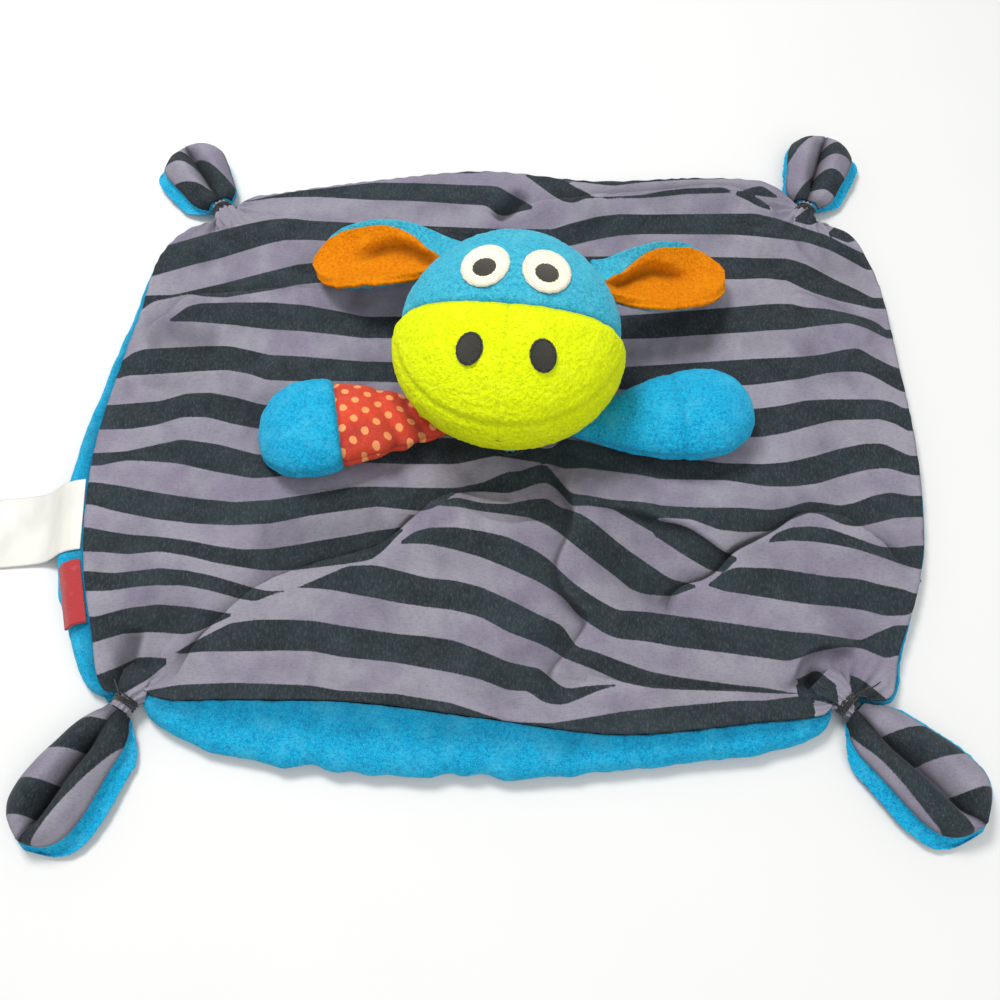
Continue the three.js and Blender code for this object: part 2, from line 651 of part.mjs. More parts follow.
function seamRing() {
  const radius = NECK_GATHER_RADIUS + GAP + STITCH_THREAD / 2;
  const half = STITCH_THREAD / 2;
  const profile = Array.from({ length: STITCH_THREAD_SIDES + 1 }, (_, k) => {
    const turn = (2 * Math.PI * k) / STITCH_THREAD_SIDES;
    return new THREE.Vector2(radius + Math.cos(turn) * half, Math.sin(turn) * half);
  });
  return new THREE.LatheGeometry(profile, STITCH_SIDES).rotateX(Math.PI / 2);
}

place('neck', 'turquoise', geometryOf(neckGather()));
const neckBase = new THREE.Vector3(HEAD_SIDEWAYS, NECK_GATHER_PLACE, BLANKET_RISE + GAP + STITCH_THREAD / 2);
place('neck_stitch', 'dark', seamRing(), hinged(neckBase, 0));

// Ears: a cupped plush back with a lining in it, curving outward and down from the head
const EAR_ROW_SHARES = [0, 0.12, 0.28, 0.46, 0.64, 0.82, 1];
const EAR_COLUMN_SHARES = [-1, -0.5, 0, 0.5, 1];
const EAR_WIDTH_SHARES = [
  [0, 0.5], [0.09, 0.54], [0.2, 0.68], [0.34, 0.88], [0.48, 0.98], [0.62, 1], [0.76, 0.94], [0.89, 0.76],
  [1, 0.4],
];
const EAR_CUP_SHARES = [[0, 0], [0.09, 0.1], [0.34, 0.9], [0.62, 1], [1, 0.5]];
const EAR_LEAN_SHARE = 0.4;
const EAR_BEND_SHARE = 0.4;
const EAR_BEND_DROP_SHARE = 0.55;
// Angles in degrees from the head's left or right: where the root sits, how the ear leaves it and where
// its tip lies
const EARS = {
  left: { across: -1, root: 50, leaving: 19, heading: 11, droop: 22, lengthShare: 1 },
  right: { across: 1, root: 43, leaving: 11, heading: 28, droop: 21, lengthShare: 0.95 },
};

function earCentre({ across, root, leaving, heading, droop, lengthShare }) {
  const towards = (angle) => {
    const turn = THREE.MathUtils.degToRad(angle);
    return new THREE.Vector3(across * Math.cos(turn), Math.sin(turn), 0);
  };
  const halfHead = new THREE.Vector3(HEAD_HALF_WIDTH, HEAD_HALF_HEIGHT, 0);
  const seat = towards(root).multiply(halfHead).setZ(EAR_ROOT_RISE);
  const slope = THREE.MathUtils.degToRad(droop);
  const length = EAR_LENGTH * lengthShare;
  const drop = Math.sin(slope) * length;
  const bend = seat.clone().addScaledVector(towards(leaving), EAR_BEND_SHARE * length);
  const tip = seat.clone().addScaledVector(towards(heading), Math.cos(slope) * length);
  bend.setZ(seat.z - EAR_BEND_DROP_SHARE * drop);
  return new THREE.QuadraticBezierCurve3(seat, bend, tip.setZ(seat.z - drop));
}

// One layer of an ear between two heights over its middle surface, with a rim past the lining's edge.
// It starts inside the head and is cut back to the head's surface.
function earLayer(ear, from, to, rim) {
  const curve = earCentre(ear);
  const up = new THREE.Vector3(0, 0, 1);
  const layer = solid(sheet(EAR_ROW_SHARES.map((share) => {
    const ahead = curve.getTangent(share);
    const back = new THREE.Vector3().crossVectors(up, ahead).multiplyScalar(ear.across).normalize();
    const normal = new THREE.Vector3().crossVectors(ahead, back).multiplyScalar(ear.across);
    const halfWidth = (valueAt(EAR_WIDTH_SHARES, share) * EAR_WIDTH) / 2;
    const run = share > 0 ? 0 : EAR_ROOT_RUN;
    const cup = valueAt(EAR_CUP_SHARES, share) * EAR_CUP;
    return acrossSheet(EAR_COLUMN_SHARES, halfWidth - EAR_RIM, rim).map((y) => {
      const reach = y / halfWidth;
      const rise = cup * (reach * reach + EAR_LEAN_SHARE * reach);
      const middle = curve.getPoint(share).addScaledVector(back, y).addScaledVector(ahead, -run);
      return {
        top: middle.clone().addScaledVector(normal, rise + to),
        bottom: middle.clone().addScaledVector(normal, rise + from),
      };
    });
  })));
  return geometryOf(layer.subtract(headForm(-EAR_ROOT_GAP)));
}

for (const [side, ear] of Object.entries(EARS)) {
  place(`ear_${side}_lining`, 'orange', earLayer(ear, GAP / 2, GAP / 2 + EAR_LINING, 0), head);
  place(`ear_${side}_back`, 'turquoise', earLayer(ear, -GAP / 2 - EAR_BACK, -GAP / 2, EAR_RIM), head);
}

// Arms: stuffed limbs that swell from a flat root to a round paw, each cover cut along its seams
const ARM_INNER_SHARES = [0.3, 0.94];
const ARM_ROW_SHARES = [0, 0.14, 0.3, 0.45, 0.6, 0.74, 0.86, 0.95, 1];
const ARM_THICKNESS_SHARES = [
  [0, 0.11], [0.1, 0.2], [0.2, 0.38], [0.3, 0.6], [0.42, 0.82], [0.54, 0.96], [0.66, 1], [0.78, 1],
  [0.88, 0.86], [0.95, 0.62], [1, 0.3],
];
const ARM_LIFT_SHARES = [[0, 1], [0.2, 0], [1, 0]];
const ARM_CROSS_SEAM_SHARE = 0.6;
const ARMS = {
  left: {
    root: new THREE.Vector3(-ARM_ROOT, ARM_LEFT_PLACE, BLANKET_RISE + GAP),
    yaw: Math.PI + THREE.MathUtils.degToRad(9.5),
    widthShares: [
      [0, 0.36], [0.1, 0.42], [0.2, 0.52], [0.3, 0.64], [0.42, 0.78], [0.54, 0.89], [0.66, 1], [0.78, 1.02],
      [0.88, 0.88], [0.95, 0.62], [1, 0.25],
    ],
    pieces: [['sleeve', 'dotted'], ['paw', 'turquoise']],
  },
  right: {
    root: new THREE.Vector3(ARM_ROOT, ARM_RIGHT_PLACE, BLANKET_RISE + GAP),
    yaw: THREE.MathUtils.degToRad(6.5),
    widthShares: [
      [0, 0.36], [0.1, 0.4], [0.2, 0.47], [0.3, 0.58], [0.42, 0.76], [0.54, 0.9], [0.66, 1], [0.78, 1.02],
      [0.88, 0.9], [0.95, 0.64], [1, 0.25],
    ],
    pieces: [['upper', 'turquoise'], ['hand', 'turquoise']],
  },
};

// Height of the side seam over the blanket, raised where the limb thins out at its root
function limbMiddle(share) {
  const halfHeight = (valueAt(ARM_THICKNESS_SHARES, share) * ARM_THICKNESS) / 2;
  return halfHeight + valueAt(ARM_LIFT_SHARES, share) * ARM_ROOT_LIFT;
}

// Limb form with its outer surface drawn in by the inset, over the rows between two shares of its length
function limb(arm, inset, from = 0, to = 1) {
  const shares = [from, ...ARM_ROW_SHARES.filter((share) => share > from && share < to), to];
  return solid(loft(shares.map((share) => {
    const halfWidth = (valueAt(arm.widthShares, share) * ARM_WIDTH) / 2 - inset;
    const halfHeight = (valueAt(ARM_THICKNESS_SHARES, share) * ARM_THICKNESS) / 2;
    return Array.from({ length: ARM_SIDES }, (_, k) => {
      const turn = (2 * Math.PI * k) / ARM_SIDES;
      const z = limbMiddle(share) + Math.sin(turn) * (halfHeight - inset);
      return new THREE.Vector3(share * ARM_LENGTH, Math.cos(turn) * halfWidth, z);
    });
  })));
}

// Everything above or below the side seam, which follows the middle of the limb's thickness
function sideOfSeam(above) {
  const overrun = CUT_OVERRUN / ARM_LENGTH;
  return solid(sheet([-overrun, ...ARM_ROW_SHARES, 1 + overrun].map((share) => {
    const seam = limbMiddle(THREE.MathUtils.clamp(share, 0, 1));
    const [top, bottom] = above ? [2 * ARM_THICKNESS, seam + GAP / 2] : [seam - GAP / 2, -ARM_THICKNESS];
    return [-ARM_WIDTH, ARM_WIDTH].map((y) => {
      const x = share * ARM_LENGTH;
      return { top: new THREE.Vector3(x, y, top), bottom: new THREE.Vector3(x, y, bottom) };
    });
  })));
}

function lengthOfLimb(from, to) {
  const low = new THREE.Vector3(from * ARM_LENGTH, -ARM_WIDTH, -ARM_THICKNESS);
  const high = new THREE.Vector3(to * ARM_LENGTH, ARM_WIDTH, 2 * ARM_THICKNESS);
  return blockBetween(low, high);
}

for (const [side, arm] of Object.entries(ARMS)) {
  const group = hinged(arm.root, arm.yaw);
  group.name = `arm_${side}_hinge`;
  const cover = limb(arm, 0).subtract(limb(arm, ARM_COVER, ...ARM_INNER_SHARES));
  const halfGap = GAP / 2 / ARM_LENGTH;
  const lengths = [
    lengthOfLimb(-halfGap, ARM_CROSS_SEAM_SHARE - halfGap),
    lengthOfLimb(ARM_CROSS_SEAM_SHARE + halfGap, 1 + halfGap),
  ];
  arm.pieces.forEach(([name, look], k) => {
    for (const [layer, above] of [['top', true], ['underside', false]]) {
      const piece = cover.intersect(lengths[k]).intersect(sideOfSeam(above));
      place(`arm_${side}_${name}_${layer}`, look, geometryOf(piece), group);
    }
  });
  const [from, to] = ARM_INNER_SHARES;
  const filling = limb(arm, ARM_COVER + GAP, from + GAP / ARM_LENGTH, to - GAP / ARM_LENGTH);
  place(`arm_${side}_stuffing`, 'filling', geometryOf(filling), group);
}

// Labels caught in the left seam, each a bent ribbon
const CARE_LABEL_SHARES = [
  [0, 0.83], [0.08, 0.79], [0.16, 0.66], [0.24, 0.4], [0.32, 0.17], [0.44, 0.08], [0.75, 0.07], [1, 0.17],
];
const TAB_SHARES = [[0, 0.85], [0.35, 0.87], [0.7, 0.81], [1, 0.62]];

function ribbon(rows, length, thickness, width) {
  const route = rows.map(([out, rise]) => new THREE.Vector2(-out * length, (rise - rows[0][1]) * SEAM_RISE));
  const under = route.map((p) => new THREE.Vector2(p.x, p.y - thickness));
  const outline = new THREE.Shape([...route, ...under.reverse()]);
  const body = new THREE.ExtrudeGeometry(outline, { depth: width, bevelEnabled: false });
  return body.rotateX(Math.PI / 2).translate(0, width / 2, 0);
}

function seamFrame(share) {
  const line = EDGES.left.seam;
  const y = share * BLANKET_DEPTH;
  const k = line.findIndex((point) => point.y < y);
  const [from, to] = [line[k - 1], line[k]];
  const point = from.clone().lerp(to, (y - from.y) / (to.y - from.y));
  const yaw = Math.atan2(from.y - to.y, from.x - to.x) - Math.PI / 2;
  const outward = new THREE.Vector3(-Math.cos(yaw), -Math.sin(yaw), 0);
  return { yaw, point: point.addScaledVector(outward, LABEL_OFFSET) };
}

function sewnIn(name, look, placeShare, rows, geometry) {
  const frame = seamFrame(placeShare);
  const group = hinged(frame.point.setZ(rows[0][1] * SEAM_RISE), frame.yaw);
  group.name = `${name}_hinge`;
  place(name, look, geometry, group);
}

const careLabel = ribbon(CARE_LABEL_SHARES, CARE_LABEL_LENGTH, CARE_LABEL_THICKNESS, CARE_LABEL_WIDTH);
const sideTab = ribbon(TAB_SHARES, TAB_LENGTH, TAB_THICKNESS, TAB_WIDTH);
sewnIn('care_label', 'satin', CARE_LABEL_PLACE_SHARE, CARE_LABEL_SHARES, careLabel);
sewnIn('side_tab', 'red', TAB_PLACE_SHARE, TAB_SHARES, sideTab);

export default lovey;
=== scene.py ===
import math

import bpy
import numpy as np
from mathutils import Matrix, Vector, noise


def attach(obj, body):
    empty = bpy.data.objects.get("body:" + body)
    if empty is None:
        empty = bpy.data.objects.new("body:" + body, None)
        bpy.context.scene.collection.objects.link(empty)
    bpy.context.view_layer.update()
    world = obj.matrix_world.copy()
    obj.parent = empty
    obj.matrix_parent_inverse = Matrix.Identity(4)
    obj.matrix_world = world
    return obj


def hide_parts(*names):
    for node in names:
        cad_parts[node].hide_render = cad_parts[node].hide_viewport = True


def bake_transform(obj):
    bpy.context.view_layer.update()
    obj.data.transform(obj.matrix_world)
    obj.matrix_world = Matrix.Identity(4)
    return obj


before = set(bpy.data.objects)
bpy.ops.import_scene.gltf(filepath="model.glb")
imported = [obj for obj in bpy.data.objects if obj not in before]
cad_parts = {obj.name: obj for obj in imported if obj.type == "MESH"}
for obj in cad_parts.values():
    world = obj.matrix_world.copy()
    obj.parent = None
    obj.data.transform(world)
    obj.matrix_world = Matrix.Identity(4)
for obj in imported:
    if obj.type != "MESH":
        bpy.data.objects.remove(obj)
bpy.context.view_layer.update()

# The comfort blanket's looks. Lengths are in millimetres in this script and become metres where a mesh is
# made. X points right, Y away from the front edge and Z up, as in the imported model.
MM = 0.001
TO_TABLE = np.array([1, 1, 0])
BELOW = np.array([0, 0, -2000])

# Camera, at the photograph's place and angle
CAMERA_PLACE = np.array([-3.1, -233.2, 400.3])
CAMERA_TILT = 28
CAMERA_LENS = 41.4
CAMERA_SENSOR = 36


def in_scene(name, data):
    made = bpy.data.objects.new(name, data)
    bpy.context.scene.collection.objects.link(made)
    return made


def make_camera():
    data = bpy.data.cameras.new("camera")
    data.lens = CAMERA_LENS
    data.sensor_width = CAMERA_SENSOR
    camera = in_scene("camera", data)
    camera.location = CAMERA_PLACE * MM
    camera.rotation_euler = (math.radians(CAMERA_TILT), 0, 0)
    bpy.context.scene.camera = camera


make_camera()


# Shaping by shares: a smooth curve through the rows of a table
CENTRIPETAL = 0.5
TABLE_STEPS = 240


def curve_points(rows, steps):
    """Points on the centripetal Catmull-Rom curve through the rows, evenly spread over its spans."""
    rows = np.asarray(rows, float)
    padded = np.vstack([2 * rows[0] - rows[1], rows, 2 * rows[-1] - rows[-2]])
    place = np.linspace(0, len(rows) - 1, steps + 1)
    span = np.minimum(place.astype(int), len(rows) - 2)
    w = (place - span)[:, None]
    p0, p1, p2, p3 = (padded[span + k] for k in range(4))

    def knot(a, b):
        return np.maximum(np.linalg.norm(a - b, axis=1, keepdims=True) ** CENTRIPETAL, 1e-4)

    d0, d1, d2 = knot(p0, p1), knot(p1, p2), knot(p2, p3)
    t1 = ((p1 - p0) / d0 - (p2 - p0) / (d0 + d1) + (p2 - p1) / d1) * d1
    t2 = ((p2 - p1) / d1 - (p3 - p1) / (d1 + d2) + (p3 - p2) / d2) * d1
    return (p1 + t1 * w + (-3 * p1 + 3 * p2 - 2 * t1 - t2) * w ** 2
            + (2 * p1 - 2 * p2 + t1 + t2) * w ** 3)


def value_at(table, shares):
    line = curve_points(table, TABLE_STEPS)
    return np.interp(shares, line[:, 0], line[:, 1])


def smoothstep(x, low, high):
    t = np.clip((x - low) / (high - low), 0, 1)
    return t * t * (3 - 2 * t)


def bell(x, width):
    """1 where x is nought, falling away smoothly to both sides."""
    return np.exp(-(x / width) ** 2)


def noise_at(points, size, seed=0.0):
    """Smooth noise of about -1 to 1 at each point, in lumps of the given size."""
    flat = np.asarray(points, float).reshape(-1, 3) / size + seed
    return np.array([noise.noise(p) for p in flat.tolist()]).reshape(np.shape(points)[:-1])


def way(degrees):
    return np.array([math.cos(math.radians(degrees)), math.sin(math.radians(degrees)), 0])


def turned(points, degrees):
    c, s, _ = way(degrees)
    return np.asarray(points, float) @ np.array([[c, s, 0], [-s, c, 0], [0, 0, 1]])


def once_round(sides):
    return np.linspace(0, 2 * np.pi, sides, endpoint=False)[None, :]


# Meshes from grids of points
def grid_faces(rows, columns, closed=False):
    r = np.arange(rows - 1)[:, None]
    c = np.arange(columns if closed else columns - 1)[None, :]
    a = r * columns + c
    b = r * columns + (c + 1) % columns
    return np.stack([a, b, b + columns, a + columns], -1).reshape(-1, 4)


def grid_normals(grid, away_from, closed=False):
    """A unit normal at each point of a grid, pointing away from a place inside the form."""
    whole = np.concatenate([grid, grid[:, :1]], 1) if closed else grid
    normals = np.cross(np.gradient(whole, axis=0), np.gradient(whole, axis=1))
    normals /= np.maximum(np.linalg.norm(normals, axis=-1, keepdims=True), 1e-9)
    outward = ((whole - away_from) * normals).sum(-1).mean()
    return (normals if outward > 0 else -normals)[:, :grid.shape[1]]


def lifted(grid, away_from, height, closed=False):
    return grid + grid_normals(grid, away_from, closed) * height[..., None]


def distance_from_edges(grid, edges):
    """How far each point of a grid is from the named edges, measured along the grid's own lines."""
    def run(axis):
        steps = np.linalg.norm(np.diff(grid, axis=axis), axis=-1)
        return np.insert(np.cumsum(steps, axis=axis), 0, 0, axis=axis)
    down, along = run(0), run(1)
    ways = {"first": down, "last": down[-1:] - down, "left": along, "right": along[:, -1:] - along}
    return np.min([ways[edge] for edge in edges] + [np.full(grid.shape[:2], 1e3)], axis=0)


def capped(grid, tip=(0, 0, 0)):
    """A grid of rings, closed at both ends by drawing a ring together to its middle."""
    first = grid[:1].mean(1, keepdims=True)
    last = grid[-1:].mean(1, keepdims=True) + tip
    return np.concatenate([np.repeat(first, grid.shape[1], 1), grid, np.repeat(last, grid.shape[1], 1)])


def make_piece(name, points, faces, looks, body, slot, stands_for=(), away_from=None, thickness=0,
               stripe=None, shade=None, look_of_face=None):
    """A named mesh piece from points in millimetres, which stands for CAD nodes. Its body is the one that it
    rides on; where two bodies and two places are given instead, they are not used and the piece stays put."""
    points = np.asarray(points, float).reshape(-1, 3)
    corner = points[faces]
    if away_from is None:
        outward = (np.cross(corner[:, 0], corner[:, 1]) * corner[:, 2]).sum()
        outward += (np.cross(corner[:, 0], corner[:, 2]) * corner[:, -1]).sum()
    else:
        normal = np.cross(corner[:, 2] - corner[:, 0], corner[:, -1] - corner[:, 1])
        outward = (normal * (corner.mean(1) - away_from)).sum()
    if outward < 0:
        faces = faces[:, ::-1]
    mesh = bpy.data.meshes.new(name)
    mesh.from_pydata((points * MM).tolist(), [], faces.tolist())
    for look in looks if isinstance(looks, list) else [looks]:
        mesh.materials.append(look)
    if look_of_face is not None:
        mesh.polygons.foreach_set("material_index", np.asarray(look_of_face, np.int32))
    for label, values in (("stripe", stripe), ("shade", shade)):
        if values is not None:
            attribute = mesh.attributes.new(label, "FLOAT", "POINT")
            attribute.data.foreach_set("value", np.asarray(values, np.float32).ravel())
    mesh.shade_smooth()
    mesh.update()
    piece = in_scene(name, mesh)
    if thickness:
        solidify = piece.modifiers.new("thickness", "SOLIDIFY")
        solidify.thickness = thickness * MM
        solidify.offset = -1
        solidify.use_even_offset = False
    if isinstance(body, str):
        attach(piece, body)
    else:
        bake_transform(piece)
    if stands_for:
        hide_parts(*stands_for)
    return piece


def make_grid(name, grid, *args, closed=False, **options):
    return make_piece(name, grid, grid_faces(*grid.shape[:2], closed), *args, **options)


THREAD_SIDES = 8
NOT_ALONG_ANY_THREAD = [0.3, 0.2, 1]


def sweep(path, radius):
    """A closed tube round a path, as its points and faces."""
    path = np.asarray(path, float)
    ahead = np.gradient(path, axis=0)
    ahead /= np.linalg.norm(ahead, axis=1, keepdims=True)
    side = np.cross(ahead[0], NOT_ALONG_ANY_THREAD)
    turns = once_round(THREAD_SIDES).T
    rings = []
    for place, forward, reach in zip(path, ahead, np.broadcast_to(radius, len(path))):
        side = side - forward * (side @ forward)
        side /= np.linalg.norm(side)
        rings.append(place + reach * (np.cos(turns) * side + np.sin(turns) * np.cross(forward, side)))
    points = np.vstack([*rings, path[:1], path[-1:]])
    k = np.arange(THREAD_SIDES)
    following = (k + 1) % THREAD_SIDES
    last = (len(path) - 1) * THREAD_SIDES
    hub = np.full(THREAD_SIDES, len(path) * THREAD_SIDES)
    return points, np.vstack([grid_faces(len(path), THREAD_SIDES, closed=True),
                              np.stack([following, k, hub, hub], -1),
                              np.stack([last + k, last + following, hub + 1, hub + 1], -1)])


def joined(parts):
    """One set of points and faces from several."""
    starts = np.cumsum([0] + [len(points) for points, _ in parts])
    return (np.vstack([points for points, _ in parts]),
            np.vstack([faces + start for (_, faces), start in zip(parts, starts)]))


# Looks
WAVE_RATE = 20


def linear(red, green, blue):
    def one(value):
        value /= 255
        return value / 12.92 if value <= 0.04045 else ((value + 0.055) / 1.055) ** 2.4
    return (one(red), one(green), one(blue), 1)


class Look:
    """A material's node tree, built a node at a time."""

    def __init__(self, name):
        self.material = bpy.data.materials.new(name)
        self.material.use_nodes = True
        self.tree = self.material.node_tree
        self.tree.nodes.clear()
        self.coordinates = self.node("ShaderNodeTexCoord").outputs["Object"]

    def node(self, kind, inputs=None, **settings):
        made = self.tree.nodes.new(kind)
        for key, value in settings.items():
            setattr(made, key, value)
        for key, value in (inputs or {}).items():
            if isinstance(value, bpy.types.NodeSocket):
                self.tree.links.new(value, made.inputs[key])
            else:
                made.inputs[key].default_value = value
        return made

    def math(self, operation, a, b=0.0, clamp=False):
        return self.node("ShaderNodeMath", {0: a, 1: b}, operation=operation, use_clamp=clamp).outputs[0]

    def scaled(self, value, factor):
        return self.math("MULTIPLY", value, factor)

    def attribute(self, name):
        return self.node("ShaderNodeAttribute", attribute_name=name).outputs["Fac"]

    def noise(self, size, detail=2.0, stretch=(1, 1, 1), roughness=0.5):
        """Noise in lumps of the given size in millimetres."""
        mapped = self.node("ShaderNodeMapping", {"Vector": self.coordinates, "Scale": stretch})
        return self.node("ShaderNodeTexNoise", {"Vector": mapped.outputs[0], "Scale": 1 / (size * MM),
                                                "Detail": detail, "Roughness": roughness}).outputs[0]

    def ragged(self, size):
        """A quarter of a millimetre to and fro, to roughen a printed edge."""
        return self.scaled(self.math("SUBTRACT", self.noise(size, 2), 0.5), 0.5)

    def ramp(self, value, low, high):
        """From 0 at low to 1 at high, smoothly."""
        return self.node("ShaderNodeMapRange", {"Value": value, "From Min": low, "From Max": high},
                         interpolation_type="SMOOTHSTEP").outputs[0]

    def mix(self, share, a, b):
        return self.node("ShaderNodeMix", {0: share, 6: a, 7: b}, data_type="RGBA").outputs[2]

    def tinted(self, base, colour, value, low, high, most=None):
        """The base, with the colour coming in as a value goes from low to high, up to a share of it."""
        share = self.ramp(value, low, high)
        return self.mix(share if most is None else self.scaled(share, most), base, colour)

    def waves(self, pitch, direction, distortion):
        """Bands across a direction, a pitch in millimetres apart."""
        scale = 2 * math.pi / (WAVE_RATE * pitch * MM)
        return self.node("ShaderNodeTexWave", {"Vector": self.coordinates, "Scale": scale,
                                               "Distortion": distortion, "Detail": 1.0},
                         bands_direction=direction).outputs[1]

    def shaded(self, colour, dark):
        """The colour with painted shade, darker where the mesh's shade attribute says that it lies deep in a
        crease.
        """
        return self.mix(self.math("MULTIPLY", self.attribute("shade"), 1.0, True), colour, dark)

    def finish(self, colour, bumps, rough, sheen=0.0, sheen_roughness=0.5, tint=(1, 1, 1, 1), specular=0.3):
        """The material, with bumps of height, depth in millimetres and strength, the broadest first, and a
        roughness of a value, its factor and the least that there is."""
        inputs = {}
        for height, depth, strength in bumps:
            inputs |= {"Height": height, "Distance": depth * MM, "Strength": strength}
            inputs["Normal"] = self.node("ShaderNodeBump", inputs).outputs[0]
        value, factor, least = rough
        shader = self.node("ShaderNodeBsdfPrincipled", {
            "Base Color": colour, "Normal": inputs["Normal"],
            "Roughness": self.math("ADD", self.scaled(value, factor), least), "Sheen Weight": sheen,
            "Sheen Roughness": sheen_roughness, "Sheen Tint": tint, "Specular IOR Level": specular})
        output = self.node("ShaderNodeOutputMaterial")
        self.tree.links.new(shader.outputs[0], output.inputs[0])
        return self.material


# How dark the painted shade in plush is, as a share of the plush's deepest colour
PLUSH_PAINTED_SHADE_SHARE = 0.3


def plush(name, *colours):
    """Short pile: fine flecks where the fibres part, broad swipes where they lie over, a pale bloom, and
    painted shade where the mesh's shade attribute marks creases and seams.
    """
    look = Look(name)
    deep, middle, light = (linear(*colour) for colour in colours)
    flecks = look.noise(1.3, 3, roughness=0.62)
    tips = look.noise(0.45, 2, roughness=0.6)
    swipes = look.noise(9, 2)
    base = look.tinted(deep, middle, flecks, 0.24, 0.66)
    base = look.tinted(base, light, swipes, 0.45, 0.8, 0.22)
    base = look.tinted(base, light, tips, 0.45, 0.75, 0.45)
    # Painted shade: darker where the mesh's shade attribute is high
    base = look.shaded(base, tuple(PLUSH_PAINTED_SHADE_SHARE * part for part in deep[:3]) + (1,))
    return look.finish(base, [(swipes, 1.2, 0.4), (flecks, 1.1, 0.8), (tips, 0.5, 0.8)], (tips, 0.15, 0.8),
                       sheen=0.5, sheen_roughness=0.4, tint=light, specular=0.1)


def cotton(look, colour, wrinkle):
    """Finish of a printed cotton: weave, soft small creases, pale lint, slightly worn colour in patches,
    and painted shade in small pits, in the weave's gaps and in creases that the mesh marks.
    """
    weave = look.math("MULTIPLY", look.waves(0.5, "X", 0.6), look.waves(0.5, "Y", 0.6))
    slub = look.noise(0.7, 3, (1, 0.4, 1), 0.6)
    crease = look.noise(wrinkle, 2, (1, 0.6, 1))
    patches = look.noise(6.5, 3, roughness=0.6)
    shade_in_pits = look.noise(0.75, 3, (0.45, 1, 1), 0.65)
    colour = look.mix(look.scaled(patches, 0.07), colour, linear(168, 164, 178))
    colour = look.tinted(colour, linear(190, 188, 200), slub, 0.42, 0.78, 0.07)
    colour = look.tinted(colour, linear(205, 208, 214), look.noise(0.6, 1), 0.7, 0.8, 0.12)
    # Painted shade in small pits, in the gaps between the weave's threads and in marked creases
    colour = look.tinted(colour, linear(18, 22, 26), shade_in_pits, 0.42, 0.75, 0.2)
    colour = look.mix(look.scaled(look.math("SUBTRACT", 1.0, weave), 0.1), colour, linear(16, 16, 20))
    colour = look.shaded(colour, linear(14, 16, 20))
    return look.finish(colour, [(crease, 0.9, 0.35), (weave, 0.12, 0.5)], (slub, 0.15, 0.78), sheen=0.06,
                       sheen_roughness=0.4, specular=0.15)


def striped_cotton():
    """Two stripe colours, parted where the mesh's stripe distance passes nought."""
    look = Look("striped_cotton")
    distance = look.math("ADD", look.attribute("stripe"), look.ragged(0.8))
    bloom = look.noise(22, 2)
    purple = look.tinted(linear(143, 140, 151), linear(126, 119, 137), bloom, 0.35, 0.7)
    dark = look.tinted(linear(16, 31, 34), linear(26, 43, 46), bloom, 0.35, 0.7)
    return cotton(look, look.tinted(purple, dark, distance, -0.22, 0.22), 4)


DOT_PITCH = 8.4
DOT_EDGE = (1.25, 1.6)
DOTS_TO_THE_LEFT = 500


def dotted_cotton():
    """Warm red cotton printed with peach dots on a staggered grid."""
    look = Look("dotted_cotton")
    dots = []
    for shift in (0, DOT_PITCH / 2):
        squares = []
        for axis in (0, 1):
            place = look.node("ShaderNodeSeparateXYZ", {0: look.coordinates}).outputs[axis]
            moved = look.math("ADD", place, (DOTS_TO_THE_LEFT * DOT_PITCH + shift) * MM)
            phase = look.math("SUBTRACT", look.math("FRACT", look.math("DIVIDE", moved, DOT_PITCH * MM)), 0.5)
            squares.append(look.math("POWER", look.scaled(phase, DOT_PITCH), 2.0))
        reach = look.math("ADD", look.math("SQRT", look.math("ADD", *squares)), look.ragged(0.7))
        dots.append(look.math("SUBTRACT", 1.0, look.ramp(reach, *DOT_EDGE)))
    ground = look.tinted(linear(216, 66, 30), linear(190, 50, 26), look.noise(14, 2), 0.35, 0.7)
    return cotton(look, look.mix(look.math("MAXIMUM", *dots), ground, linear(250, 160, 96)), 3)


def stitched(name, deep, light, pitch, direction="X"):
    """Embroidery thread laid side by side, with painted highlight on its glossy backs and painted shade in
    its dark grooves.
    """
    look = Look(name)
    threads = look.waves(pitch, direction, 2.2)
    flecks = look.noise(0.5, 3, (1, 0.35, 1), 0.6)
    # Painted highlight on each thread's back and painted shade in the grooves between threads
    colour = look.tinted(linear(*deep), linear(*light), threads, 0.35, 0.9, 0.7)
    colour = look.tinted(colour, linear(*light), flecks, 0.6, 0.8, 0.5)
    return look.finish(colour, [(threads, 0.3, 0.9), (flecks, 0.15, 0.6)], (flecks, 0.2, 0.45), sheen=0.2,
                       specular=0.4)


def satin():
    """Woven ribbon for the care label, a little yellowed and creased, with painted shade along its creases,
    and left bare.
    """
    look = Look("white_satin")
    ribs = look.waves(0.35, "Y", 0.4)
    creases = look.noise(9, 2, (1, 0.4, 1))
    # Painted shade: the ribbon is darker where its crease noise rises
    colour = look.tinted(linear(214, 213, 205), linear(196, 196, 190), creases, 0.3, 0.8)
    colour = look.mix(look.scaled(ribs, 0.06), colour, linear(205, 205, 205))
    return look.finish(colour, [(creases, 0.8, 0.4), (ribs, 0.06, 0.5)], (creases, 0.2, 0.35), sheen=0.15,
                       specular=0.5)


def ribbon_red():
    """Close woven ribbon with ribs across it, a little worn."""
    look = Look("red_ribbon")
    ribs = look.waves(0.7, "Y", 0.3)
    weave = look.math("MULTIPLY", ribs, look.waves(0.4, "X", 0.3))
    worn = look.noise(3, 3)
    colour = look.mix(look.scaled(ribs, 0.5), linear(158, 26, 32), linear(188, 48, 52))
    colour = look.tinted(colour, linear(210, 120, 118), worn, 0.55, 0.8, 0.25)
    return look.finish(colour, [(weave, 0.2, 0.7)], (worn, 0.2, 0.5), sheen=0.2, specular=0.35)


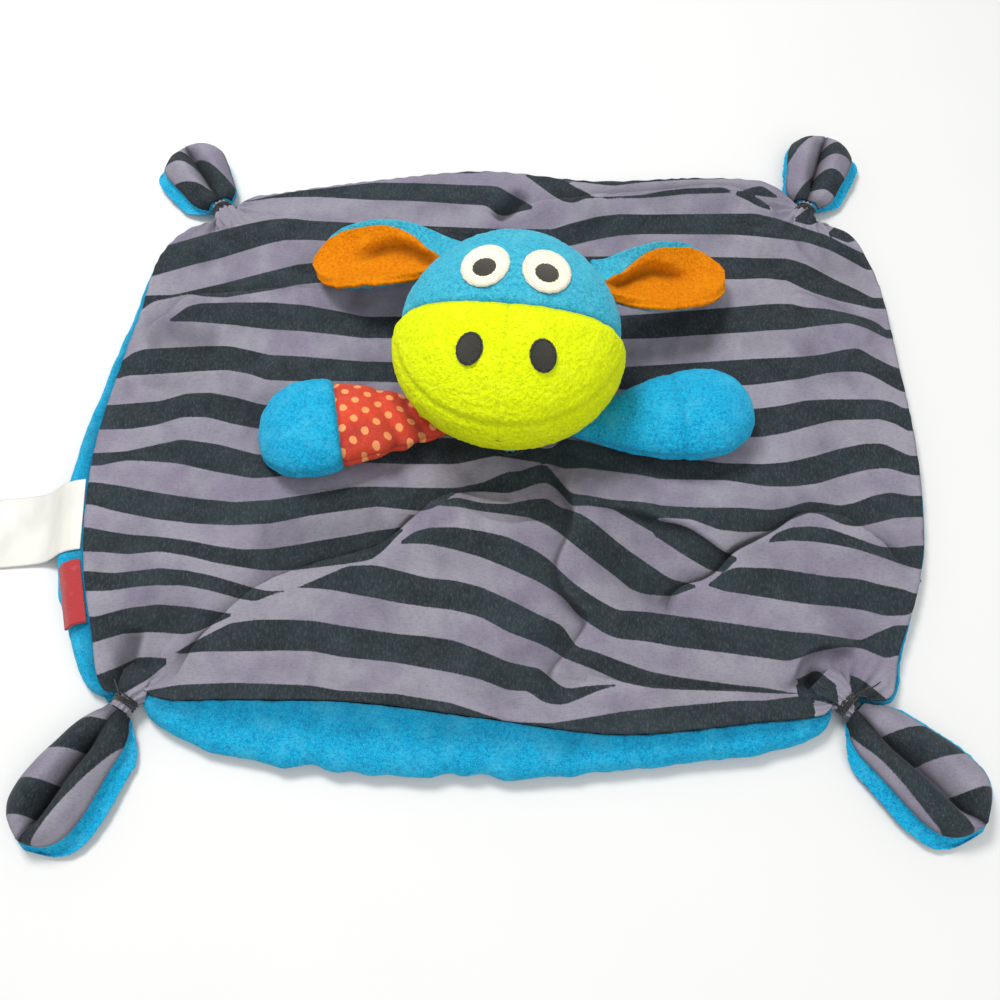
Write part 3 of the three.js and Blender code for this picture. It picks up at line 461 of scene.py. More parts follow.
def felt():
    """Cream patch of dense brushed fibre."""
    look = Look("eye_felt")
    fibres = look.noise(0.7, 3, (1, 0.4, 1), 0.6)
    clouds = look.noise(4, 2)
    colour = look.tinted(linear(226, 214, 176), linear(248, 240, 214), fibres, 0.35, 0.65)
    colour = look.mix(look.scaled(clouds, 0.2), colour, linear(252, 248, 232))
    return look.finish(colour, [(clouds, 0.5, 0.3), (fibres, 0.3, 0.7)], (fibres, 0.15, 0.75), sheen=0.3,
                       tint=linear(255, 250, 230), specular=0.2)


TURQUOISE = plush("turquoise_plush", (0, 124, 178), (4, 166, 210), (100, 208, 232))
CROWN_PLUSH = plush("crown_plush", (18, 132, 168), (54, 176, 202), (128, 212, 226))
LIME = plush("lime_plush", (196, 216, 0), (228, 244, 4), (244, 250, 60))
ORANGE = plush("orange_plush", (192, 94, 0), (222, 127, 0), (244, 164, 24))
FILLING = plush("fibre_filling", (222, 222, 216), (238, 238, 234), (250, 250, 248))
STRIPED = striped_cotton()
DOTTED = dotted_cotton()
FELT = felt()
SATIN = satin()
RED_RIBBON = ribbon_red()
DARK_THREAD = stitched("dark_thread", (10, 11, 13), (34, 35, 38), 0.5)
EMBROIDERY = stitched("dark_embroidery", (16, 16, 13), (74, 70, 52), 0.55, "DIAGONAL")
BORDER_THREAD = stitched("border_thread", (224, 216, 192), (250, 246, 232), 0.6, "DIAGONAL")

# Blanket edges, copied from the part: seam x and y, outermost x and y, and the seam's height as a share
BLANKET_WIDTH = 334
BLANKET_DEPTH = 272
BLANKET_RISE = 8.4
SEAM_RISE = 14
NECK_RISE = 6.6
CORNER_INSET = 6.5
CORNERS = {
    "front_left": {"knot": (-0.407, -0.386), "heading": -120, "length": 56},
    "front_right": {"knot": (0.359, -0.39), "heading": -46, "length": 58.2},
    "back_right": {"knot": (0.398, 0.449), "heading": 71, "length": 45.9},
    "back_left": {"knot": (-0.38, 0.452), "heading": 121, "length": 42},
}
EDGE_SHARES = {
    "front": [
        (-0.365, -0.386, -0.38, -0.404, 0.8), (-0.293, -0.388, -0.293, -0.447, 0.86),
        (-0.165, -0.393, -0.165, -0.476, 1), (-0.024, -0.415, -0.024, -0.48, 1),
        (0.114, -0.434, 0.114, -0.474, 0.86), (0.254, -0.419, 0.254, -0.452, 0.86),
        (0.335, -0.402, 0.336, -0.418, 0.7)],
    "right": [
        (0.405, -0.38, 0.411, -0.38, 0.46), (0.422, -0.324, 0.428, -0.324, 0.48),
        (0.464, -0.202, 0.464, -0.202, 0.45), (0.485, -0.037, 0.484, -0.037, 0.45),
        (0.485, 0.147, 0.484, 0.147, 0.45), (0.476, 0.324, 0.475, 0.324, 0.45),
        (0.449, 0.404, 0.448, 0.405, 0.5)],
    "back": [
        (0.38, 0.475, 0.38, 0.481, 0.57), (0.353, 0.507, 0.353, 0.513, 0.57),
        (0.27, 0.518, 0.27, 0.525, 0.57), (0.12, 0.511, 0.12, 0.518, 0.57),
        (-0.03, 0.533, -0.03, 0.54, 0.57), (-0.165, 0.515, -0.165, 0.522, 0.57),
        (-0.3, 0.486, -0.3, 0.493, 0.57), (-0.35, 0.472, -0.35, 0.479, 0.55)],
    "left": [
        (-0.42, 0.404, -0.434, 0.404, 0.65), (-0.449, 0.349, -0.457, 0.349, 0.72),
        (-0.461, 0.228, -0.475, 0.228, 0.8), (-0.47, 0.147, -0.488, 0.147, 0.86),
        (-0.485, -0.018, -0.512, -0.018, 0.86), (-0.476, -0.176, -0.51, -0.176, 0.86),
        (-0.455, -0.279, -0.487, -0.275, 0.8), (-0.429, -0.372, -0.447, -0.368, 0.6)],
}
CORNER_SEAM_SHARE = 0.6
ACROSS_STEPS = 300
AWAY_STEPS = 250

for corner in CORNERS.values():
    x, y = corner["knot"]
    corner["place"] = np.array([x * BLANKET_WIDTH, y * BLANKET_DEPTH, NECK_RISE])
    corner["tip"] = corner["place"] - CORNER_INSET * way(corner["heading"])


def edge_lines(edge, start, end, steps):
    """The seam line and the outermost line of one edge, from one corner's tip to the next."""
    rows = np.array(EDGE_SHARES[edge])
    size = np.array([BLANKET_WIDTH, BLANKET_DEPTH])
    seam = np.column_stack([rows[:, :2] * size, rows[:, 4] * SEAM_RISE])
    outer = np.column_stack([rows[:, 2:4] * size, 0 * rows[:, 4]])
    ends = [CORNERS[start]["tip"] * TO_TABLE, CORNERS[end]["tip"] * TO_TABLE]
    high = np.array([0, 0, CORNER_SEAM_SHARE * SEAM_RISE])
    return (curve_points(np.vstack([ends[0] + high, seam, ends[1] + high]), steps),
            curve_points(np.vstack([ends[0], outer, ends[1]]), steps))


EDGES = {
    "front": edge_lines("front", "front_left", "front_right", ACROSS_STEPS),
    "right": edge_lines("right", "front_right", "back_right", AWAY_STEPS),
    "back": edge_lines("back", "back_right", "back_left", ACROSS_STEPS),
    "left": edge_lines("left", "back_left", "front_left", AWAY_STEPS),
}

# Folds of the top cloth: path, rise, how far the slope runs out to the left and right of the path, and how
# far the crest leans over towards the steeper of the two
FOLDS = [
    ([(-128, -104), (-111, -84), (-91, -65), (-77, -57), (-60, -51.5), (-45, -46), (-37, -39), (-28, -31),
      (-20, -26), (-2, -21)], 8.5, 2.4, 24, 4.5),
    ([(8, -4), (20, -18), (25.5, -29), (24, -42), (19, -56), (22, -66), (29.5, -76), (23, -88), (16, -98),
      (19.5, -112)], 7.5, 16, 4.5, 2.5),
    ([(52, -76), (60, -66), (75, -60), (85, -50), (98, -43), (105, -38), (111, -34), (126, -36), (140, -45),
      (158, -55)], 7.0, 3.2, 17, 3.5),
    ([(22, -26), (40, -29), (50, -31), (58, -33.5), (70, -38), (80, -46), (88, -54)], 5.0, 12, 3.5, 2.0),
    ([(10, -99), (40, -99.7), (60, -101.6), (104, -103.5)], 3.2, 2.2, 8, 2.0),
    ([(-8, 114), (26, 124), (60, 129), (97, 133), (125, 115)], 5.6, 2.4, 10, 2.5),
    ([(-156, 52), (-142, 60), (-135, 69), (-114, 72), (-70, 79)], 5.2, 2.8, 13, 2.5),
    ([(98, -103), (104, -90), (112, -86), (126, -86)], 6.0, 5, 3, 1.5),
    ([(-50, -31), (-25, -35), (0, -37), (26, -33)], 3.2, 3, 9, 1.5),
    ([(-40, -27), (-20, -30), (5, -28)], 2.4, 3, 6, 1.0),
    ([(60, 60), (100, 62), (140, 58)], 2.0, 4, 12, 0),
    ([(-152, 24), (-120, 20), (-85, 26)], 2.2, 4, 12, 0),
    ([(-70, -86), (-71, -104)], 2.2, 2.5, 3.5, 0.8),
    ([(128, 28), (144, 40), (158, 44)], 3.0, 4, 8, 1.0),
    ([(118, 74), (138, 66), (156, 52)], 3.0, 4, 9, 1.0),
    ([(96, 112), (118, 104), (136, 84)], 2.6, 4, 8, 1.0),
    ([(-150, 96), (-122, 108), (-92, 112)], 2.4, 4, 9, 1.0),
    ([(-158, -10), (-130, -4), (-104, -14)], 2.0, 5, 9, 0),
    ([(-2, 82), (0, 110)], 2.2, 4, 6, 0.8),
]
# Hollows of the same kind, which dip instead
HOLLOWS = [
    ([(-136, -76), (-137, -90), (-138, -103)], 4.4, 3.2, 5),
    ([(106, -93), (114, -101), (121, -108)], 5.0, 4, 4),
    ([(-6, 116), (2, 125), (8, 134)], 4.6, 4, 4),
    ([(-150, 45), (-138, 50), (-118, 49)], 2.4, 7, 7),
    ([(30, -40), (48, -58), (64, -72)], 2.2, 8, 9),
    ([(-100, -40), (-70, -38), (-44, -32)], 1.8, 9, 9),
]
# Each arm's root, direction, length and half width, under which the top cloth stays low
FLAT_UNDER_ARMS = [((-17, 11), 189.5, 84, 22), ((17, 1.5), 6.5, 84, 22)]
SLOPE_BESIDE_ARMS = 0.7
CLEAR_OF_HEAD = 0.8
OUT_OF_REACH = 60

# Head, as in the part
HEAD_PLACE = np.array([0.8, 29.1, 39.9])
HEAD_YAW = -6
HEAD_HALF = np.array([43.6, 46.6, 31.0])
CROWN_TAPER = 0.08
MUZZLE_SEAM = -6.5
SEAM_ARC = 6.5
CHIN_LINE = 8

# How far a rise of one hides the ground behind it from the camera, and how dark the painted shade
# at a fold's foot is
VIEW_SLOPE = 0.5
PATH_STEPS = 60
UNDER_FOLD_SHADE = 0.85
BESIDE_FOLD_SHADE = 0.42


def nearest_on_path(xy, path):
    """Distance from each place to a path, the share of the way along it, its side and the way to the left."""
    line = curve_points([(*p, 0) for p in path], PATH_STEPS)[:, :2]
    spans = np.diff(line, axis=0)
    best = np.full(len(xy), 1e9)
    share = np.zeros(len(xy))
    side = np.zeros(len(xy))
    leftward = np.zeros((len(xy), 2))
    for k, (start, span) in enumerate(zip(line, spans)):
        gap = xy - start
        t = np.clip(gap @ span / (span @ span), 0, 1)
        reach = np.hypot(*(gap - t[:, None] * span).T)
        closer = reach < best
        best[closer] = reach[closer]
        share[closer] = ((k + t) / len(spans))[closer]
        side[closer] = (span[0] * gap[:, 1] - span[1] * gap[:, 0])[closer]
        leftward[closer] = np.array([-span[1], span[0]]) / np.hypot(*span)
    return best, share, side, leftward


def ridge(xy, path, rise, left, right, overhang=0.0):
    """Height of a fold at each place, how far it leans over towards its steeper side, how dark the painted
    shade at the place is and the fold's own profile."""
    distance, share, side, leftward = nearest_on_path(xy, path)
    sense = 1 if left < right else -1
    towards = np.where(side > 0, distance, -distance) * sense + overhang
    spread = np.where(towards > 0, min(left, right), max(left, right))
    ends = smoothstep(share, 0, 0.16) * (1 - smoothstep(share, 0.86, 1))
    profile = ends * bell(towards, spread)
    lean = leftward * (profile * overhang * sense)[:, None]
    past = towards - overhang - VIEW_SLOPE * rise * np.clip(leftward[:, 1] * sense, 0, 1)
    beyond = np.clip(past, 0, None)
    under = smoothstep(towards, 0.5, 2.0) * bell(beyond, 1.3) * min(1, overhang / 3.5) ** 2
    beside = smoothstep(past, -2, 1.5) * np.exp(-beyond / 5)
    dark = ends * np.clip(rise / 6, 0, 1) * np.maximum(UNDER_FOLD_SHADE * under, BESIDE_FOLD_SHADE * beside)
    return rise * profile, lean, dark, profile


def head_underside(xy):
    """Height of the head's surface over a place on the blanket, far up where the head isn't over it."""
    local = turned(np.column_stack([xy, np.zeros(len(xy))]) - HEAD_PLACE * TO_TABLE, -HEAD_YAW)
    reach = (local[:, 0] / HEAD_HALF[0]) ** 2 + (local[:, 1] / HEAD_HALF[1]) ** 2
    under = HEAD_PLACE[2] - HEAD_HALF[2] * np.sqrt(np.clip(1 - reach, 0, 1))
    return np.where(reach < 1, under, OUT_OF_REACH)


def ceiling(xy):
    """The most that the top cloth may rise without touching the head or an arm."""
    limit = np.clip(head_underside(xy) - CLEAR_OF_HEAD, BLANKET_RISE, OUT_OF_REACH)
    for (x, y), yaw, length, half in FLAT_UNDER_ARMS:
        along = (xy - (x, y)) @ way(yaw)[:2]
        across = np.abs((xy - (x, y)) @ way(yaw + 90)[:2])
        outside = np.hypot(np.clip(np.maximum(-along, along - length), 0, None),
                           np.clip(across - half * smoothstep(along, -20, 50), 0, None))
        limit = np.minimum(limit, BLANKET_RISE + SLOPE_BESIDE_ARMS * outside)
    return limit


# Dark stripes of the top cloth, read as bands from (x, far edge, near edge), on the plane 10 mm up
STRIPES = [
    [(-35, 143.5, 143.5), (-25, 145.5, 142), (-15, 145, 141.8), (-8, 143.5, 143)],
    [(8, 142, 141), (15, 141, 134), (20, 139.5, 129), (25, 138.5, 125), (30, 134, 124), (35, 131, 127),
     (40, 127, 127)],
    [(26, 147, 137.5), (48, 147, 134.3), (60, 147, 136.3), (80, 147, 138), (97, 147, 138.5), (108, 147, 140)],
    [(127, 115, 113.5), (134, 122, 111), (141.5, 120.5, 117)],
    [(141, 107, 105.5), (145, 111.5, 103.5), (149, 108, 101), (154, 104.5, 104)],
    [(-118, 125, 124.5), (-105, 128.5, 127), (-95, 131, 127.7), (-85, 132.5, 127.8), (-60, 136.3, 126),
     (-40, 136, 125.3), (-20, 134.9, 123.5), (-9, 134.5, 122.8), (-4, 134, 117), (0, 131, 116.5),
     (5, 127, 119), (12, 122, 121)],
    [(38, 127.5, 126.5), (60, 128.8, 127), (70, 131.3, 128), (80, 132.8, 129.4), (97, 133.5, 130),
     (101, 131.5, 130)],
    [(102, 132, 129), (107, 130, 126), (112, 127.5, 122), (117, 122, 120)],
    [(105, 131, 130), (110, 133.5, 129), (115, 134.5, 128), (121, 128, 127)],
    [(-155, 92, 82), (-148, 100, 84.5), (-135, 105, 89.4), (-125, 108.8, 92.5), (-115, 111.9, 96.5),
     (-105, 114.6, 100.6), (-97, 115.4, 103), (-85, 113.8, 103), (-30, 110.6, 98), (-8, 109.5, 98),
     (20, 109, 100), (27, 112, 99.5), (40, 116.3, 103.5), (50, 117.8, 105.6), (60, 117.5, 106.3),
     (100, 118, 106), (110, 118.1, 105), (120, 115, 103.5), (130, 110, 101.9), (140, 105.6, 97.5),
     (147, 100.6, 92.5), (155, 95, 86)],
    [(-155, 72.5, 64), (-150, 72.8, 69.5), (-142, 73, 71.5), (-135, 75, 73.5), (-130, 76.5, 72.3),
     (-120, 79.5, 71.5), (-110, 83, 73.5), (-100, 86.3, 75.6), (-90, 89.5, 78.3), (-60, 93, 82),
     (60, 94, 82), (100, 93.3, 81.3), (110, 92.8, 81.9), (120, 92.8, 80.6), (125, 91.5, 77),
     (130, 88.8, 74), (140, 81.3, 70), (150, 75, 67), (155, 71, 65.5)],
    [(-142, 59.5, 59), (-135, 67, 59), (-130, 68.5, 58.8), (-115, 69, 57.3), (-100, 69, 55),
     (-85, 67.5, 54), (-72, 64.6, 52.3), (-60, 61.5, 50.5), (47, 62, 50), (60, 63, 50.3), (80, 65, 52),
     (100, 67, 53.5), (110, 68.1, 54.5), (120, 68.3, 55), (125, 66.5, 56), (135, 65.6, 57.5),
     (143, 63.5, 58.3), (150, 61, 55.5), (155, 58.5, 52), (158, 54, 50)],
    [(-159, 38, 30), (-155, 43, 31.9), (-150, 45, 32), (-125, 46.5, 34), (-115, 46.5, 34.6),
     (-105, 44, 32.5), (-98, 42, 29.6), (-85, 41.3, 29), (-60, 38.8, 29), (47, 36, 25), (60, 36.9, 25),
     (80, 38.4, 26), (100, 40, 27.3), (120, 41, 30.3), (130, 42.3, 33), (138, 44.5, 33.8),
     (145, 45.6, 33.6), (150, 41.5, 31), (155, 38, 27), (160, 35, 23.5)],
    [(-160, 17.5, 6), (-150, 18.5, 6.3), (-140, 19.4, 8.1), (-130, 23.1, 11.9), (-120, 23.5, 11.8),
     (-110, 21.3, 8.8), (-99, 17.8, 6.3), (-60, 16, 5), (30, 16, 5), (60, 15, 3), (100, 15.8, 2.5),
     (110, 17.3, 4.4), (120, 19.8, 7.5), (130, 20.3, 10.3), (149, 20.3, 10.9), (155, 19, 8.5),
     (159, 15.6, 5)],
    [(-160, -4.7, -10.6), (-150, -4, -8.1), (-140, -1.3, -8.5), (-129, 1.5, -9.5), (-115, -0.6, -13),
     (-99, -5.3, -16.2), (-90, -6, -15.5), (-60, 2, -9), (-40, 2.5, -9.8), (-20, 2, -9.8), (-5, 0, -6),
     (17, -3, -10), (22, 2, -12), (30, 0.6, -11.5), (40, -2.5, -13), (50, -5, -14.4), (60, -6, -16.6),
     (85, -9.4, -17), (100, -9.8, -19.8), (110, -8.8, -19.8), (120, -6.3, -18.5), (130, -3, -15),
     (140, -0.6, -12.3), (148, -0.3, -11.5), (158, -6.3, -15)],
    [(-160, -17.8, -27.5), (-150, -19.4, -30.6), (-135, -22.5, -33.8), (-120, -25, -35.8),
     (-105, -26.6, -36.6), (-90, -25.5, -35.8), (-75, -22.8, -32.3), (-60, -19.9, -29.9),
     (-50, -19.8, -28.5), (-33, -20.4, -30.6), (-28, -20.4, -29), (-20, -20.4, -22.5),
     (-10, -18.1, -22), (0, -13.1, -22.8), (5, -13, -21.3), (10, -10.6, -19), (15, -9.8, -17.8),
     (20, -17, -22), (24, -22.8, -28.5), (30, -23.5, -28), (40, -25.6, -29.5), (50, -26.3, -36.5),
     (57, -27.5, -41)],
    [(55, -27.2, -33.8), (58, -28, -33.3), (70, -28.8, -34), (80, -29, -38.5), (90, -29, -39.6),
     (100, -30, -39), (107, -29, -34.5), (115, -26.3, -31), (120, -26.8, -32), (127, -28.2, -36.3),
     (133, -27, -37.2), (140, -24, -35.5), (147, -22.3, -33.5), (156, -24, -33)],
    [(55, -33.4, -40.6), (58, -34.8, -43), (65, -36, -48.5), (70, -38.5, -52), (75, -42.5, -55.3),
     (80, -46.9, -56.3), (86, -50.5, -50.5)],
    [(98, -44, -44), (100, -40.6, -43.6), (107, -37.5, -43), (115, -36.9, -43.4), (122, -38, -44.5),
     (130, -41.3, -46.3), (140, -45.6, -50), (147, -46, -53), (153, -45, -55)],
    [(-28, -27, -27.5), (-24, -25.5, -28.5), (-20, -24.4, -28.5), (-10, -27, -30.6), (0, -27.5, -32),
     (8, -25.5, -33.3), (15, -24.8, -36.5), (20, -29, -40.3), (25, -30.3, -45), (30, -33, -49.4),
     (35, -37.5, -53.8), (40, -42.5, -58), (45, -47, -63), (50, -51, -65), (60, -58.8, -65.9),
     (70, -61.5, -62)],
    [(74, -61, -61.5), (80, -56, -64), (85, -54, -64.6), (100, -54.6, -67.3), (110, -56.3, -69),
     (120, -58, -69.8), (130, -58.8, -71.3), (137, -61, -73.6), (146, -63, -73.4), (150, -65, -70)],
    [(-41, -44, -44.5), (-36, -39.4, -44.2), (-30, -37.5, -44.5), (-20, -37.3, -46.8), (-10, -39, -50),
     (0, -41.5, -54.4), (10, -46.9, -59.4), (15, -50.6, -62.5), (20, -56.3, -66), (25, -61.3, -73),
     (30, -65, -77), (35, -68.5, -80.6), (40, -71.3, -82.5), (50, -71.9, -83.5), (60, -73.3, -85.5),
     (80, -76.3, -88.1), (100, -79.4, -91), (105, -80, -89.5), (110, -80.3, -87.5),
     (120, -81.9, -85.6), (127, -83.1, -86), (135, -79.4, -90), (141, -77, -88.5)],
    [(-78, -62.3, -62.5), (-72, -59.4, -62.5), (-65, -56, -63.3), (-60, -53.5, -64.4),
     (-50, -53.1, -66.3), (-40, -55.6, -68.5), (-30, -58.5, -70), (-20, -59.4, -71.3),
     (-10, -62.1, -74), (0, -67, -80), (10, -72.5, -83.8), (15, -75, -86.3), (20, -77.5, -90),
     (24, -85.5, -91.5), (30, -86.9, -94), (40, -91, -98.8), (50, -94.8, -100.9), (60, -96.9, -101.6),
     (80, -99.8, -102.2), (90, -100.8, -102.8), (102, -103, -103.3)],
    [(-120, -88.1, -88.3), (-115, -84.5, -88), (-110, -81.5, -87.3), (-101, -76.3, -87.3),
     (-91, -75, -87.2), (-80, -75, -86.9), (-70, -75.6, -87.3), (-60, -77.5, -89.4),
     (-40, -80.6, -91.5), (-30, -81.5, -93.5), (-20, -83, -95.3), (-10, -86.9, -97.8),
     (0, -91.3, -101.9), (7, -93, -102.1), (11, -93.5, -105.6), (15, -97.5, -107), (20, -101.3, -107),
     (26, -100.5, -104.5), (32, -99.8, -101.8), (38, -99.7, -100.3)],
    [(-128, -102, -103), (-117, -99.8, -125), (-97, -99, -125), (-70, -100, -125), (-60, -101.9, -125),
     (-40, -103.1, -125), (-20, -106.5, -125), (-10, -110, -125), (0, -113.3, -125),
     (15, -113.8, -125), (30, -111.3, -125), (40, -109.5, -125), (60, -107.5, -125),
     (80, -105.6, -125), (90, -105.6, -125), (100, -104.2, -125), (107, -103.8, -125)],
    [(-160, -37.3, -47.5), (-150, -39.4, -48), (-143, -40.5, -48.8), (-131, -41.5, -47.5),
     (-120, -43.1, -49.4), (-110, -45.3, -52.1), (-100, -46.7, -54), (-90, -46.5, -55.5),
     (-80, -44.8, -55.3), (-70, -42.8, -54), (-60, -41, -52.6), (-51, -39, -51), (-46, -38.3, -46.3),
     (-40, -37.3, -38.5)],
    [(-157, -55.6, -63.8), (-147, -56.5, -63.6), (-137, -55.3, -61.9), (-130, -54.4, -61.4),
     (-120, -55.3, -61.5), (-110, -57.5, -63.5), (-100, -60.6, -66.5), (-93, -62.8, -68),
     (-88, -63.8, -65.5), (-82, -63.5, -63.9)],
    [(-151, -74, -84.4), (-140, -70.6, -80.6), (-129, -69, -79.8), (-117, -70, -80.8),
     (-112, -70.8, -79.5), (-101, -72.8, -73.5)],
    [(-149, -97, -102), (-143, -94.8, -103), (-137, -92, -104), (-133, -89.4, -101),
     (-127, -89.5, -97), (-122, -90, -91.5)],
    [(121, -96, -110), (125, -97.5, -109), (130, -102, -107), (133, -105.5, -106)],
    [(102, -98, -104), (110, -94, -106), (116, -100, -108)],
]
STRIPE_PLANE = 10
STRIPE_SMOOTHING = 1.3
STRIPE_LIMIT = 9
# A band as wide as this that ends beyond these places runs on over the blanket's edge
OPEN_END = 2
OPEN_PAST_LEFT = -143
OPEN_PAST_RIGHT = 135


def smoothed(values, blur):
    """Values on a line of one millimetre steps, drawn together over a few steps."""
    reach = int(3 * blur)
    weights = np.exp(-0.5 * (np.arange(-reach, reach + 1) / blur) ** 2)
    return np.convolve(np.pad(values, reach, "edge"), weights / weights.sum(), "valid")


def stripe_distance(points):
    """Distance to the nearest edge of a dark stripe, above nought inside it, seen from the camera."""
    drop = (CAMERA_PLACE[2] - STRIPE_PLANE) / (CAMERA_PLACE[2] - points[..., 2])
    x, y = (CAMERA_PLACE[k] + (points[..., k] - CAMERA_PLACE[k]) * drop for k in (0, 1))
    inside = np.full(x.shape, -float(STRIPE_LIMIT))
    for band in STRIPES:
        rows = np.array(band, float)
        line = np.arange(rows[0, 0], rows[-1, 0] + 0.5)
        far, near = (smoothed(np.interp(line, rows[:, 0], rows[:, k]), STRIPE_SMOOTHING) for k in (1, 2))
        depth = np.minimum(np.interp(x, line, far) - y, y - np.interp(x, line, near))
        wide = far - near > OPEN_END
        off_left = (x < line[0]) & ~((line[0] < OPEN_PAST_LEFT) & wide[0])
        off_right = (x > line[-1]) & ~((line[-1] > OPEN_PAST_RIGHT) & wide[-1])
        inside = np.maximum(inside, np.where(off_left | off_right, -STRIPE_LIMIT, depth))
    return np.minimum(inside, STRIPE_LIMIT)


# Top cloth. Its waves have a height, a stretch across and away, a size and a seed
EDGE_FADE_POWER = 4
HEM_BLEND_SHARE = 0.13
WAVES = [(1.9, (1, 1, 1), 38, 3.1), (1.7, (1, 1.6, 1), 17, 7.7), (0.8, (1.4, 1, 1), 7, 1.3),
         (0.25, (1, 1, 1), 3.4, 6.3)]
WAVE_DROP = 0.4
LESSER_FOLD_SHARE = 0.25
PUCKER = 0.26
PUCKER_PITCH = 8.5
PUCKER_REACH = 5
GATHER = 2.2
GATHER_FOLDS = 13
GATHER_REACH = 15
LEAST_RISE = 4.2
COTTON_THICKNESS = 0.8
HOLLOW_SHADE = 0.16
VALLEY_SHADE = 0.12


def flat_grid():
    """The top's points between the four seam lines, each edge's own shape fading inward."""
    u = np.linspace(0, 1, ACROSS_STEPS + 1)[None, :, None]
    v = np.linspace(0, 1, AWAY_STEPS + 1)[:, None, None]
    front, back = EDGES["front"][0][None], EDGES["back"][0][::-1][None]
    left, right = EDGES["left"][0][::-1][:, None], EDGES["right"][0][:, None]
    lower = front[:, :1] * (1 - u) + front[:, -1:] * u
    upper = back[:, :1] * (1 - u) + back[:, -1:] * u
    leftward = front[:, :1] * (1 - v) + back[:, :1] * v
    rightward = front[:, -1:] * (1 - v) + back[:, -1:] * v
    grid = lower * (1 - v) + upper * v
    grid = grid + (front - lower) * (1 - v) ** EDGE_FADE_POWER + (back - upper) * v ** EDGE_FADE_POWER
    grid = grid + (left - leftward) * (1 - u) ** EDGE_FADE_POWER + (right - rightward) * u ** EDGE_FADE_POWER
    nearness = np.minimum(np.minimum(u, 1 - u), np.minimum(v, 1 - v))[..., 0]
    return grid, smoothstep(nearness, 0, HEM_BLEND_SHARE)


def top_grid():
    grid, inward = flat_grid()
    shape = grid.shape
    flat, inward = grid.reshape(-1, 3), inward.ravel()
    xy = flat[:, :2]
    # shade gathers painted shade at the folds' feet, in the hollows and in the waves' valleys
    rise, shade, lean = np.zeros(len(flat)), np.zeros(len(flat)), np.zeros((len(flat), 2))
    for path, height, left, right, overhang in FOLDS:
        fold, over, dark, _ = ridge(xy, path, height, left, right, overhang)
        rise = np.maximum(rise, fold) + LESSER_FOLD_SHARE * np.minimum(rise, fold)
        lean += over
        shade = np.maximum(shade, dark)
    for path, depth, left, right in HOLLOWS:
        dip, _, _, profile = ridge(xy, path, depth, left, right)
        rise -= dip
        shade = np.maximum(shade, HOLLOW_SHADE * depth * profile)
    level = flat * TO_TABLE
    waves = sum(height * noise_at(level * stretch, size, seed) for height, stretch, size, seed in WAVES)
    shade = np.maximum(shade, VALLEY_SHADE * np.clip(-waves, 0, 3))
    rise += waves - WAVE_DROP
    edge_gap = distance_from_edges(grid, ["first", "last", "left", "right"]).ravel()
    around = xy[:, 0] + 0.9 * xy[:, 1] + 7 * noise_at(level, 15, 5.5)
    pucker = PUCKER * np.sin(2 * np.pi * around / PUCKER_PITCH) * np.exp(-edge_gap / PUCKER_REACH)
    body = smoothstep(edge_gap, 0, 14)
    z = flat[:, 2] * (1 - inward) + BLANKET_RISE * inward + rise * body + pucker
    for corner in CORNERS.values():
        gap = xy - corner["place"][:2]
        reach = np.hypot(*gap.T)
        turn = np.arctan2(gap[:, 1], gap[:, 0])
        wave = np.cos(GATHER_FOLDS * turn + 2.1 * noise_at(level, 15, 9.2))
        near = np.exp(-reach / GATHER_REACH) * smoothstep(reach, 4, 10) * smoothstep(edge_gap, 0, 4)
        z += GATHER * wave * near
    z = np.clip(z, LEAST_RISE, ceiling(xy))
    xy = xy + lean * (body * np.clip((z - BLANKET_RISE) / 3, 0, 1))[:, None]
    return np.column_stack([xy, z]).reshape(shape), shade * smoothstep(edge_gap, 0, 5)


TOP, TOP_SHADE = top_grid()
blanket_top = make_grid("blanket_top", TOP, STRIPED, "blanket", "striped_cotton",
                        stands_for=["blanket_top_panel"], away_from=BELOW, thickness=COTTON_THICKNESS,
                        stripe=stripe_distance(TOP), shade=TOP_SHADE)

# Plush back: flat on the table, then rolling outward and up to the seam on all four sides
HEM_PROFILE = [(0.0, 0.5), (0.02, 0.8), (0.22, 0.98), (0.5, 1.0), (0.78, 0.8), (0.93, 0.42), (1.0, 0.02)]
HEM_STEPS = 16
HEM_FOOT = 9
FOOT_PER_WIDTH = 0.6
BELOW_COTTON = 0.2
NARROW_HEM_DROP = 1.5
FLAT_RINGS = (0.02, 0.3, 0.55, 0.75, 0.88, 0.95, 0.985)
PLUSH_THICKNESS = 2.2
FINE_PILE = 0.3
BROAD_PILE = 0.4
INSIDE_BACK = np.array([0, 0, 6])


